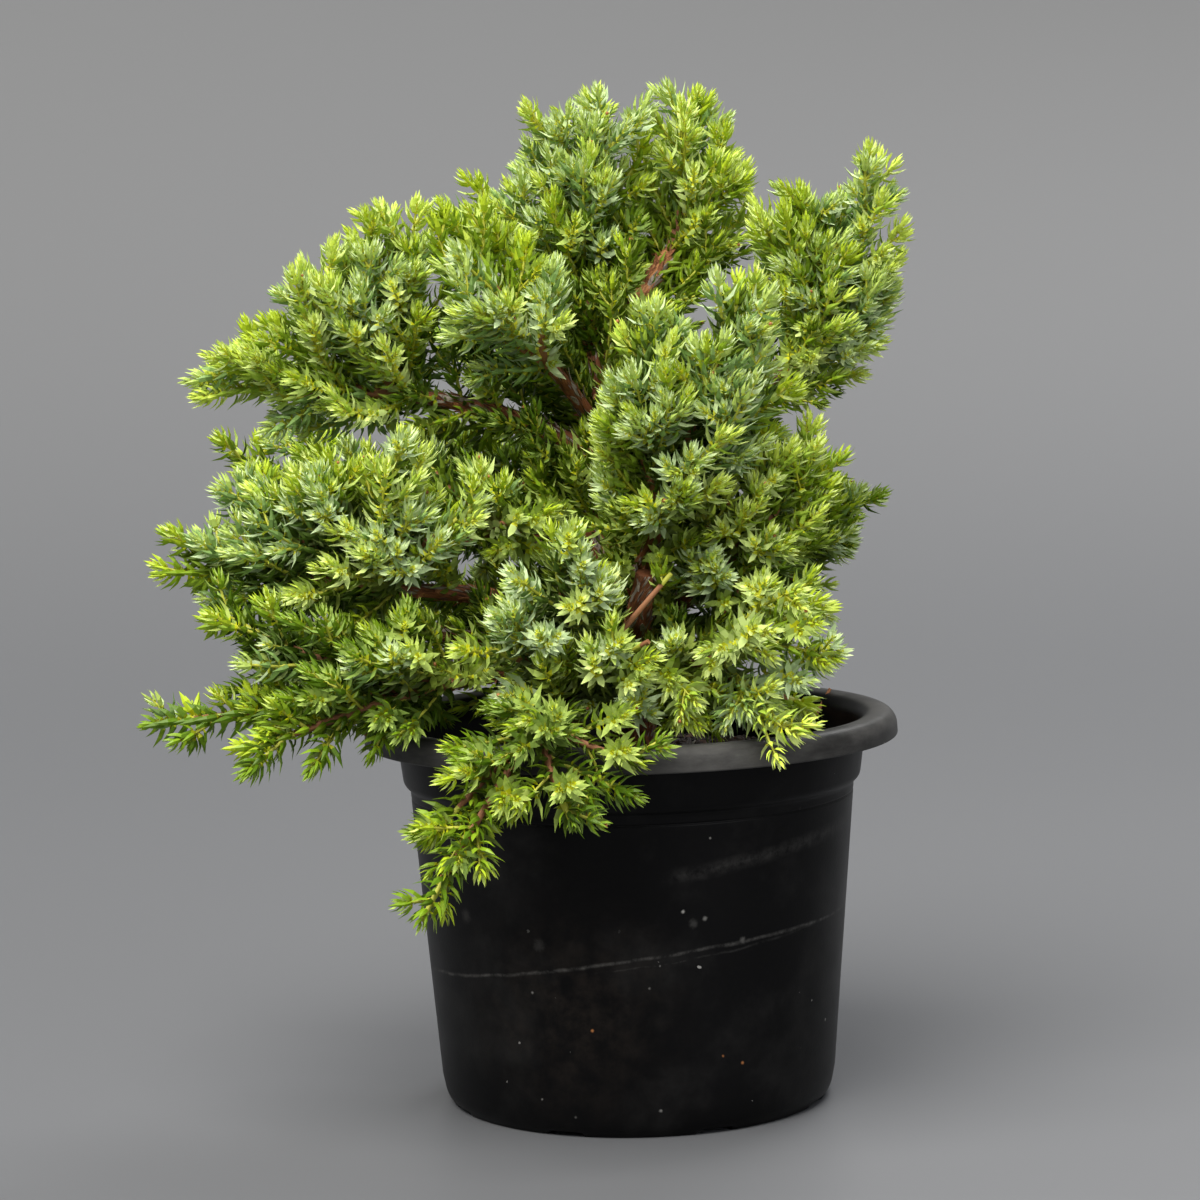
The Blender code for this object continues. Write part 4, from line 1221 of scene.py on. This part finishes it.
def mottle_group():
    """Uneven colour and a fine grain, for small things."""
    tree, ins, outs = new_group("mottle", "ShaderNodeTree", [
        ("Vector", "NodeSocketVector", None),
        ("Scale", "NodeSocketFloat", 500.0),
    ], [("Share", "NodeSocketFloat"), ("Height", "NodeSocketFloat")])
    broad = value_noise(tree, ins["Vector"], ins["Scale"], 3.0, 0.6)
    grain = value_noise(tree, ins["Vector"], maths(tree, "MULTIPLY", ins["Scale"], 4.0), 3.0, 0.65)
    tree.links.new(ramp(tree, maths(tree, "MULTIPLY_ADD", grain, 0.4, maths(tree, "MULTIPLY", broad, 0.6)), 0.38, 0.62),
                   outs["Share"])
    tree.links.new(grain, outs["Height"])
    return tree


def mottled(name, mottle, scale, light, dark, roughness):
    """A dull mottled finish between two colours."""
    made, tree, shader, place = new_material(name)
    parts = with_group(tree, mottle, {"Vector": place, "Scale": scale}).outputs
    tree.links.new(mixed(tree, parts["Share"], light, dark), shader.inputs["Base Color"])
    tree.links.new(maths(tree, "MULTIPLY_ADD", parts["Share"], 0.15, roughness), shader.inputs["Roughness"])
    shader.inputs["Specular IOR Level"].default_value = 0.3
    bump(tree, shader, parts["Height"], 0.15 * MM)
    return made


def peat_material():
    made, tree, shader, place = new_material("damp_peat")
    lumps = value_noise(tree, place, 700.0, 5.0, 0.65)
    patches = value_noise(tree, place, 90.0, 3.0, 0.6)
    dark = mixed(tree, ramp(tree, lumps, 0.35, 0.7), (0.010, 0.006, 0.004), (0.055, 0.033, 0.020))
    peat = mixed(tree, ramp(tree, patches, 0.45, 0.7), dark, (0.040, 0.026, 0.017))
    tree.links.new(peat, shader.inputs["Base Color"])
    tree.links.new(maths(tree, "MULTIPLY_ADD", lumps, 0.3, 0.65), shader.inputs["Roughness"])
    bump(tree, shader, lumps, 0.8 * MM)
    return made


# Pot


def fillet(corners):
    """Points along an outline of (radius, height, rounding) corners, with each corner rounded off by an arc."""
    points = []
    for i, (r, z, size) in enumerate(corners):
        here = Vector((r, z))
        if size == 0 or i in (0, len(corners) - 1):
            points.append(here)
            continue
        back = Vector(corners[i - 1][:2]) - here
        ahead = Vector(corners[i + 1][:2]) - here
        cut = min(size, back.length * 0.48, ahead.length * 0.48)
        a = here + back.normalized() * cut
        b = here + ahead.normalized() * cut
        points += [(1 - t) ** 2 * a + 2 * t * (1 - t) * here + t**2 * b for t in (0, 0.25, 0.5, 0.75, 1)]
    return points


def wall_outline(low, high, rows):
    """The straight outer wall in even rows."""
    points = []
    for i in range(rows + 1):
        z = low + (high - low) * i / rows
        share = (z - FOOT_CORNER) / (WALL_TOP - FOOT_CORNER)
        points.append((WALL_FOOT_RADIUS + (WALL_TOP_RADIUS - WALL_FOOT_RADIUS) * share, z, 0))
    return points


def pot_outline():
    """Outside from the middle of the underside up to the rim, and back down the inside."""
    rim_under = POT_HEIGHT - RIM_ROLL - WALL
    skirt = POT_HEIGHT - RIM_SKIRT
    foot = [
        (0, 0, 0),
        (DRAIN_INNER_RADIUS - 4 * MM, 0, 0),
        (DRAIN_INNER_RADIUS, 0, 0),
        (DRAIN_INNER_RADIUS + 0.3 * MM, 0, 0),
        (FOOT_RADIUS - 1.2 * MM, 0, 0),
        (FOOT_RADIUS, 0, 0.8 * MM),
        (FOOT_RADIUS + 1.6 * MM, 2.4 * MM, 1.5 * MM),
    ]
    wall = wall_outline(FOOT_CORNER + 1 * MM, WALL_TOP - 3 * MM, 14)
    groove = WALL_TOP - 1.8 * MM
    wall += [
        (WALL_TOP_RADIUS - 0.15 * MM, groove, 0.2 * MM),
        (WALL_TOP_RADIUS - 0.45 * MM, groove + 0.4 * MM, 0.2 * MM),
        (WALL_TOP_RADIUS - 0.1 * MM, groove + 0.8 * MM, 0.2 * MM),
    ]
    rim = [
        (WALL_TOP_RADIUS, WALL_TOP + 0.8 * MM, 0.7 * MM),
        (NECK_RADIUS - 1.5 * MM, WALL_TOP + 2.2 * MM, 1.0 * MM),
        (NECK_RADIUS - 0.3 * MM, rim_under - 3 * MM, 1.5 * MM),
        (NECK_RADIUS, rim_under, 0.8 * MM),
        (RIM_RADIUS - 2.2 * MM, rim_under - 0.6 * MM, 0.6 * MM),
        (RIM_RADIUS - 1.4 * MM, skirt, 0.4 * MM),
        (RIM_RADIUS, skirt, 0.5 * MM),
        (RIM_RADIUS - 0.2 * MM, POT_HEIGHT - 2.4 * MM, 1.2 * MM),
        (RIM_RADIUS - 1.8 * MM, POT_HEIGHT - 0.3 * MM, 1.4 * MM),
        (NECK_RADIUS + 3 * MM, POT_HEIGHT, 1.6 * MM),
        (NECK_RADIUS, POT_HEIGHT - 0.7 * MM, 1.2 * MM),
        (NECK_RADIUS - WALL, POT_HEIGHT - 3 * MM, 1.2 * MM),
        (NECK_RADIUS - WALL, rim_under - 3 * MM, 1.0 * MM),
        (WALL_TOP_RADIUS - WALL, WALL_TOP, 0.8 * MM),
        (WALL_FOOT_RADIUS - WALL, FOOT_CORNER, 1.5 * MM),
        (FOOT_RADIUS - WALL, FLOOR, 1.0 * MM),
        (0, FLOOR, 0),
    ]
    return fillet(foot + wall + rim)


def turned_mesh(name, outline, segments):
    """A turned mesh whose outline goes up on its outside, closed where the outline starts and ends on the axis."""
    bm = bmesh.new()
    rings = []
    last = None
    for place in map(Vector, outline):
        if last is None or (place - last).length > CLOSEST_RINGS:
            turns = [2 * math.pi * j / segments for j in range(segments if place.x > 0 else 1)]
            rings.append([bm.verts.new((place.x * math.cos(t), place.x * math.sin(t), place.y)) for t in turns])
            last = place
    for low, high in zip(rings, rings[1:]):
        for j in range(segments):
            k = (j + 1) % segments
            corners = (low[j % len(low)], low[k % len(low)], high[k % len(high)], high[j % len(high)])
            bm.faces.new(list(dict.fromkeys(corners)))
    return finished(bm, name)


def make_pot(material):
    """The turned pot, with its drain notches pressed up into the foot's edge."""
    mesh = turned_mesh("pot_shell", pot_outline(), POT_SEGMENTS)
    half = DRAIN_WIDTH / 2 / FOOT_RADIUS
    for vert in mesh.vertices:
        off_axis = math.hypot(vert.co.x, vert.co.y)
        if off_axis > DRAIN_INNER_RADIUS + 0.1 * MM and vert.co.z < DRAIN_HEIGHT:
            turn = math.atan2(vert.co.y, vert.co.x) * DRAIN_NOTCHES / (2 * math.pi)
            off = abs(turn - 0.5 - round(turn - 0.5)) * 2 * math.pi / DRAIN_NOTCHES
            if off < half:
                vert.co.z = DRAIN_HEIGHT
    mesh.shade_smooth()
    mesh.set_sharp_from_angle(angle=math.radians(50))
    mesh.materials.append(material)
    keep(link_object("pot_shell", mesh), ["pot"])


# Soil


def soil_height(x, y):
    """Surface of the soil: a little heaped round the trunk, uneven, and lower at the wall."""
    away = math.hypot(x, y)
    heap = 0.5 * MM * math.exp(-((away / (14 * MM)) ** 2))
    sink = -1.2 * MM * max(0, away / NECK_RADIUS - 0.7) / 0.3
    uneven = noise.fractal(Vector((x, y, 0)) * 70, 1.0, 2.0, 4) * 0.9 * MM
    crumbly = noise.fractal(Vector((x, y, 1)) * 420, 1.0, 2.0, 3) * 0.45 * MM
    return SOIL_TOP + heap + sink + uneven + crumbly


def make_soil(material, bits):
    """The bed of peat mix, as a closed turned body with an uneven top, and crumbs and chips lying on it."""
    reach = NECK_RADIUS - 3.2 * MM
    top = [(reach * i / SOIL_RINGS, SOIL_TOP) for i in range(SOIL_RINGS + 1)]
    low = [
        (WALL_TOP_RADIUS - WALL - CLEAR, WALL_TOP),
        (WALL_FOOT_RADIUS - WALL - CLEAR, FOOT_CORNER + CLEAR),
        (FOOT_RADIUS - WALL - 1.0 * MM, FLOOR + CLEAR),
        (0, FLOOR + CLEAR),
    ]
    mesh = turned_mesh("soil_bed", (top + low)[::-1], SOIL_SEGMENTS)
    for vert in mesh.vertices:
        if vert.co.z > WALL_TOP + MM:
            vert.co.z = soil_height(vert.co.x, vert.co.y)
    mesh.shade_smooth()
    mesh.materials.append(material)
    bed = link_object("soil_bed", mesh)
    tree = crumb_tree()
    cover = link_object("soil_cover", mesh.copy())
    crumb = link_object("crumb", lump_mesh(0.75 * MM, 5))
    chip = link_object("chip", chip_mesh())
    for name, shape, density, seed, low_size, high_size, paint in (
        ("soil_crumbs", crumb, 240000.0, 1, 0.5, 1.7, bits["peat"]),
        ("soil_chips", chip, 26000.0, 2, 0.6, 1.8, bits["chip"]),
        ("soil_grit", crumb, 5200.0, 3, 0.5, 1.5, bits["grit"]),
        ("soil_pebbles", crumb, 900.0, 4, 1.6, 3.0, bits["pebble"]),
    ):
        made = grown_mesh(name, tree, cover, {
            "Shape": shape, "Density": density, "Seed": seed, "Smallest": low_size, "Largest": high_size,
            "Paint": paint,
        })
        made.shade_smooth() if shape is crumb else made.shade_flat()
        keep(link_object(name, made))
    drop(cover, crumb, chip)
    keep(bed, ["soil"])


def lump_mesh(radius, seed):
    """A rough crumb of a few faces."""
    bm = bmesh.new()
    bmesh.ops.create_icosphere(bm, subdivisions=1, radius=radius)
    dice = random.Random(seed)
    for vert in bm.verts:
        vert.co *= dice.uniform(0.65, 1.2)
    return finished(bm, "lump")


def chip_mesh():
    """A flat splinter of composted bark."""
    bm = bmesh.new()
    bmesh.ops.create_cube(bm, size=1)
    dice = random.Random(8)
    for vert in bm.verts:
        vert.co.x *= 3.4 * MM * dice.uniform(0.7, 1.1)
        vert.co.y *= 1.4 * MM * dice.uniform(0.5, 1.1)
        vert.co.z *= 0.5 * MM * dice.uniform(0.6, 1.3)
    return finished(bm, "chip")


def crumb_tree():
    """Shapes scattered over the level top of a surface, turned and sized at random."""
    tree, ins, outs = new_group("scattered_crumbs", "GeometryNodeTree", [
        ("Surface", "NodeSocketGeometry", None),
        ("Shape", "NodeSocketObject", None),
        ("Density", "NodeSocketFloat", 1000.0),
        ("Seed", "NodeSocketInt", 1),
        ("Smallest", "NodeSocketFloat", 0.5),
        ("Largest", "NodeSocketFloat", 1.5),
        ("Paint", "NodeSocketMaterial", None),
    ], [("Crumbs", "NodeSocketGeometry")])
    facing = add(tree, "ShaderNodeSeparateXYZ", {"Vector": add(tree, "GeometryNodeInputNormal").outputs[0]})
    axes, off_axis = parted(tree, add(tree, "GeometryNodeInputPosition").outputs[0])
    level = maths(tree, "GREATER_THAN", facing.outputs[2], 0.25)
    upper = maths(tree, "MULTIPLY", maths(tree, "GREATER_THAN", axes[2], SOIL_TOP - 4 * MM), maths(
        tree, "LESS_THAN", off_axis, NECK_RADIUS - 6.5 * MM))
    spots = add(tree, "GeometryNodeDistributePointsOnFaces", {
        "Mesh": ins["Surface"], "Density": ins["Density"], "Seed": ins["Seed"],
        "Selection": maths(tree, "MULTIPLY", level, upper),
    }, distribute_method="RANDOM")
    turn = chance(tree, (-0.35, -0.35, 0.0), (0.35, 0.35, 6.28), ins["Seed"])
    size = chance(tree, ins["Smallest"], ins["Largest"], ins["Seed"])
    crumbs = copies(tree, spots.outputs["Points"], ins["Shape"], turn, size)
    tree.links.new(painted(tree, crumbs, ins["Paint"]), outs["Crumbs"])
    return tree


# Limbs


def limb_mesh(name, points, radii, sides, relief):
    """A closed tapering limb with furrows and ridges along it, and a UV map of metres round and along."""
    bm = bmesh.new()
    uv = bm.loops.layers.uv.new("UVMap")
    way_layer = bm.verts.layers.float_vector.new("limb_way")
    turned = Quaternion()
    facing = Vector((0, 0, 1))
    shift = Vector([random.Random(name).uniform(0, 9) for _ in range(3)])
    rings = []
    along = 0.0
    places = {}
    for i, (point, radius) in enumerate(zip(points, radii)):
        way = (points[min(i + 1, len(points) - 1)] - points[max(i - 1, 0)]).normalized()
        turned = facing.rotation_difference(way) @ turned
        facing = way
        along += (point - points[i - 1]).length if i else 0.0
        ring = []
        for j in range(sides):
            turn = 2 * math.pi * j / sides
            grain = Vector((math.cos(turn) * 2.2, math.sin(turn) * 2.2, along * 45)) + shift
            fine = Vector((math.cos(turn) * 6.0, math.sin(turn) * 6.0, along * 110)) + shift
            lift = noise.noise(grain) * relief + noise.noise(fine) * relief * 0.5
            spot = point + turned @ Vector((math.cos(turn), math.sin(turn), 0)) * radius * (1 + lift)
            vert = bm.verts.new(spot)
            vert[way_layer] = way
            places[vert] = (turn * radius, along)
            ring.append(vert)
        rings.append(ring)
    for low, high in zip(rings, rings[1:]):
        for j in range(sides):
            k = (j + 1) % sides
            face = bm.faces.new((low[j], low[k], high[k], high[j]))
            for loop, wrap in zip(face.loops, (False, k == 0, k == 0, False)):
                u, v = places[loop.vert]
                loop[uv].uv = (u + (2 * math.pi * radii[0] if wrap else 0), v)
    bm.faces.new(rings[0][::-1])
    bm.faces.new(rings[-1])
    mesh = finished(bm, name)
    mesh.shade_smooth()
    return mesh


def joined(name, objects):
    """One object of several, made without operators that need a view."""
    bm = bmesh.new()
    for obj in objects:
        bm.from_mesh(obj.data)
    mesh = finished(bm, name)
    mesh.materials.append(objects[0].data.materials[0])
    drop(*objects)
    return link_object(name, mesh)


def strip_mesh():
    """A thin strip of bark along X, with one end curling up."""
    bm = bmesh.new()
    rings = []
    for x, wide, lift in ((-2.6, 0.12, 0.05), (-0.8, 0.42, 0.0), (1.2, 0.38, 0.18), (2.9, 0.10, 0.75)):
        rings.append([
            bm.verts.new((x * MM, y * wide * MM, (lift + z) * MM))
            for y, z in ((-1, 0.0), (1, 0.0), (0.8, 0.14), (-0.8, 0.14))
        ])
    for low, high in zip(rings, rings[1:]):
        for i in range(4):
            j = (i + 1) % 4
            bm.faces.new((low[i], low[j], high[j], high[i]))
    bm.faces.new(rings[0][::-1])
    bm.faces.new(rings[-1])
    bmesh.ops.recalc_face_normals(bm, faces=bm.faces)
    return finished(bm, "strip")


def strip_tree():
    """Strips scattered over a limb, lying along it, some grey and some brown."""
    tree, ins, outs = new_group("bark_strips", "GeometryNodeTree", [
        ("Limb", "NodeSocketGeometry", None),
        ("Strip", "NodeSocketObject", None),
        ("Density", "NodeSocketFloat", 1000.0),
        ("Seed", "NodeSocketInt", 1),
        ("Grey", "NodeSocketMaterial", None),
        ("Brown", "NodeSocketMaterial", None),
    ], [("Strips", "NodeSocketGeometry")])
    spots = add(tree, "GeometryNodeDistributePointsOnFaces", {
        "Mesh": ins["Limb"], "Density": ins["Density"], "Seed": ins["Seed"],
    }, distribute_method="RANDOM")
    way = add(tree, "GeometryNodeInputNamedAttribute", {"Name": "limb_way"}, data_type="FLOAT_VECTOR").outputs[0]
    lying = add(tree, "FunctionNodeAlignRotationToVector", {
        "Rotation": spots.outputs["Rotation"], "Vector": way,
    }, axis="X", pivot_axis="Z")
    turn = chance(tree, (-0.1, -0.25, -0.35), (0.1, 0.05, 0.35), ins["Seed"])
    turned = add(tree, "FunctionNodeRotateRotation", {
        "Rotation": lying.outputs[0], "Rotate By": turn,
    }, rotation_space="LOCAL")
    size = chance(tree, (0.4, 0.6, 0.6), (1.4, 1.5, 1.3), maths(tree, "ADD", ins["Seed"], 1))
    luck = chance(tree, 0.0, 1.0, maths(tree, "ADD", ins["Seed"], 2))
    marked = stored(tree, spots.outputs["Points"], "luck", luck)
    brown = painted(tree, copies(tree, marked, ins["Strip"], turned.outputs[0], size), ins["Brown"])
    is_grey = maths(tree, "GREATER_THAN", named(tree, "luck"), 0.62)
    tree.links.new(painted(tree, brown, ins["Grey"], is_grey), outs["Strips"])
    return tree


def make_limbs(bark, strips):
    """The trunk and its boughs under bark, each bough running a little way into the trunk."""
    points, radii = trunk_path(110)
    trunk = link_object("trunk_bark", limb_mesh("trunk_bark", points, radii, TRUNK_SIDES, 0.16))
    trunk.data.materials.append(bark)
    for vert in trunk.data.vertices[:TRUNK_SIDES]:
        vert.co.z = SOIL_TOP - 0.8 * MM
    keep(trunk, ["trunk"])
    boughs = []
    for name in BOUGHS:
        points, radii = bough_path(name, 34)
        bough = link_object("bark_" + name, limb_mesh("bark_" + name, points, radii, BOUGH_SIDES, 0.14))
        bough.data.materials.append(bark)
        boughs.append(bough)
    path = [Vector(point) * MM for point in STUB[0]]
    shares = [i / 21 for i in range(22)]
    radii = [float(np.interp(4 * share, range(5), STUB[1])) * MM for share in shares]
    path = [point_along(path, share)[0] for share in shares]
    stub = link_object("stub", limb_mesh("stub", path, radii, STUB_SIDES, 0.30))
    stub.data.materials.append(bark)
    boughs = joined("bough_bark", boughs + [stub])
    keep(boughs, ["bough_" + name for name in BOUGHS])
    tree = strip_tree()
    strip = link_object("strip", strip_mesh())
    for name, limb, density in (("trunk_strips", trunk, 150000.0), ("bough_strips", boughs, 90000.0)):
        source = link_object(name + "_source", limb.data.copy())
        made = grown_mesh(name, tree, source, {
            "Strip": strip, "Density": density, "Seed": 4, "Grey": strips[0], "Brown": strips[1],
        })
        keep(link_object(name, made))
        drop(source)
    drop(strip)


def make_twigs(twigs, bark, green_bark):
    """The skins of all twigs, and of the stems that run from the limbs' tips out into the fans."""
    stems = []
    for name, fans in MASSES.items():
        for number in range(len(fans)):
            path, radii = stem_path(name, number, count=16)
            tip = path[0] - (path[1] - path[0]).normalized() * 1.5 * MM
            stems.append(Twig([tip] + path, [radii[0]] + radii, "leaf", 0, 0))
    for points, radius in DEAD_TWIGS:
        path = [Vector(point) * MM for point in points]
        path = [point_along(path, i / 11)[0] for i in range(12)]
        stems.append(Twig(path, [radius * MM * (1 - 0.04 * i) + 0.1 * MM for i in range(12)], "dry", 0, 0))
    lines = twig_lines("twig_lines", stems + [twig for twig in twigs if twig.order > 0])
    mesh = grown_mesh("twigs", twig_tree(), lines, {"Sides": 4, "Bark": bark, "Green bark": green_bark})
    keep(link_object("twigs", mesh), ["foliage_" + name for name in MASSES])
    drop(lines)


# Studio


def floor_material():
    """A plain pale surface, a little lighter where it rises into the wall."""
    made, tree, shader, place = new_material("pale_floor")
    share = ramp(tree, vectors(tree, "LENGTH", place), 0.5, 3.6)
    tree.links.new(mixed(tree, share, (0.116, 0.119, 0.127), (0.335, 0.335, 0.341)), shader.inputs["Base Color"])
    shader.inputs["Roughness"].default_value = 0.45
    shader.inputs["Specular IOR Level"].default_value = 0.3
    return made


def make_studio():
    """A pale floor that curves up into a round wall, and soft lights over it."""
    points = arc(Vector((0.9, 0)), Vector((3.9, 0)), Vector((4.4, 3.0)), 40)
    mesh = turned_mesh("floor", points[::-1] + [Vector((0, 0))], 96)
    mesh.shade_smooth()
    mesh.materials.append(floor_material())
    link_object("floor", mesh)
    for name, place, size, power, tone in (
        ("key_light", (-0.70, -1.05, 2.2), 2.3, 145.0, (1.0, 0.975, 0.92)),
        ("fill_light", (1.6, -1.9, 1.1), 1.8, 20.0, (0.97, 0.98, 1.0)),
        ("back_light", (0.8, 1.5, 1.9), 1.0, 32.0, (1.0, 1.0, 1.0)),
    ):
        lamp = bpy.data.lights.new(name, "AREA")
        lamp.shape = "DISK"
        lamp.size = size
        lamp.energy = power
        lamp.color = tone
        obj = bpy.data.objects.new(name, lamp)
        obj.location = place
        aim = Vector((0, 0, 0.12)) - Vector(place)
        obj.rotation_euler = aim.to_track_quat("-Z", "Y").to_euler()
        bpy.context.scene.collection.objects.link(obj)
    world = bpy.data.worlds.new("studio_air")
    world.use_nodes = True
    world.node_tree.nodes["Background"].inputs["Color"].default_value = (0.75, 0.78, 0.80, 1)
    world.node_tree.nodes["Background"].inputs["Strength"].default_value = 0.44
    bpy.context.scene.world = world
    bpy.context.scene.view_settings.view_transform = "Standard"


def make_camera():
    yaw = math.radians(CAMERA_YAW)
    pitch = math.radians(CAMERA_PITCH)
    roll = math.radians(CAMERA_ROLL)
    ahead = Vector((math.sin(yaw) * math.cos(pitch), math.cos(yaw) * math.cos(pitch), -math.sin(pitch)))
    level = Vector((math.cos(yaw), -math.sin(yaw), 0))
    above = level.cross(ahead)
    right = level * math.cos(roll) + above * math.sin(roll)
    up = above * math.cos(roll) - level * math.sin(roll)
    camera = bpy.data.objects.new("camera", bpy.data.cameras.new("camera"))
    camera.data.lens = LENS
    camera.data.sensor_width = 36
    camera.data.sensor_fit = "HORIZONTAL"
    camera.data.clip_start = 0.01
    turn = Matrix((right, up, -ahead)).transposed()
    camera.matrix_world = Matrix.Translation(CAMERA_PLACE) @ turn.to_4x4()
    bpy.context.scene.collection.objects.link(camera)
    bpy.context.scene.camera = camera


def main():
    make_camera()
    make_studio()
    dust = dust_group()
    scratch = scratch_group()
    fibres = fibre_group()
    mottle = mottle_group()
    make_pot(black_plastic(dust, scratch, patch_group(), spot_group()))
    peat = peat_material()
    make_soil(peat, {
        "peat": peat,
        "chip": mottled("bark_chip", mottle, 500.0, (0.110, 0.050, 0.025), (0.035, 0.018, 0.010), 0.78),
        "grit": mottled("pale_grit", mottle, 700.0, (0.50, 0.48, 0.43), (0.26, 0.23, 0.19), 0.72),
        "pebble": mottled("tan_pebble", mottle, 320.0, (0.40, 0.29, 0.18), (0.20, 0.13, 0.08), 0.50),
    })
    bark = bark_material("peeling_bark", fibres, 0.50, (0.290, 0.100, 0.038), (0.300, 0.255, 0.215))
    make_limbs(bark, [
        mottled("grey_strip", mottle, 600.0, (0.420, 0.360, 0.300), (0.220, 0.170, 0.135), 0.74),
        mottled("brown_strip", mottle, 600.0, (0.380, 0.150, 0.058), (0.170, 0.060, 0.025), 0.68),
    ])
    crown = Crown()
    twigs = [twig for name in MASSES for twig in grow_mass(crown, name)]
    twigs += [twig for name in SPRAYS for twig in grow_spray(name)]
    twigs += [twig for name in ["trunk", *BOUGHS] for twig in grow_on_limb(crown, name)]
    woody = plain_material("twig_bark", (0.270, 0.112, 0.046), 0.75)
    green_bark = plain_material("green_bark", (0.430, 0.440, 0.045), 0.6)
    make_twigs(twigs, woody, green_bark)
    make_buds(twigs, plain_material("bud_scales", (0.340, 0.130, 0.035), 0.6))
    make_foliage(twigs, list(MASSES))


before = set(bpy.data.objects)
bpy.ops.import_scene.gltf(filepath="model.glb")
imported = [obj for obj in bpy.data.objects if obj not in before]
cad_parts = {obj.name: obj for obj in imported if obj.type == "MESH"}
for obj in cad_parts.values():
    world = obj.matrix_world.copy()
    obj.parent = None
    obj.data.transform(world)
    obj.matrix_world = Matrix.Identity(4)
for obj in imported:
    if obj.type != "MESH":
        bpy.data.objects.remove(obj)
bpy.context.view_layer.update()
main()
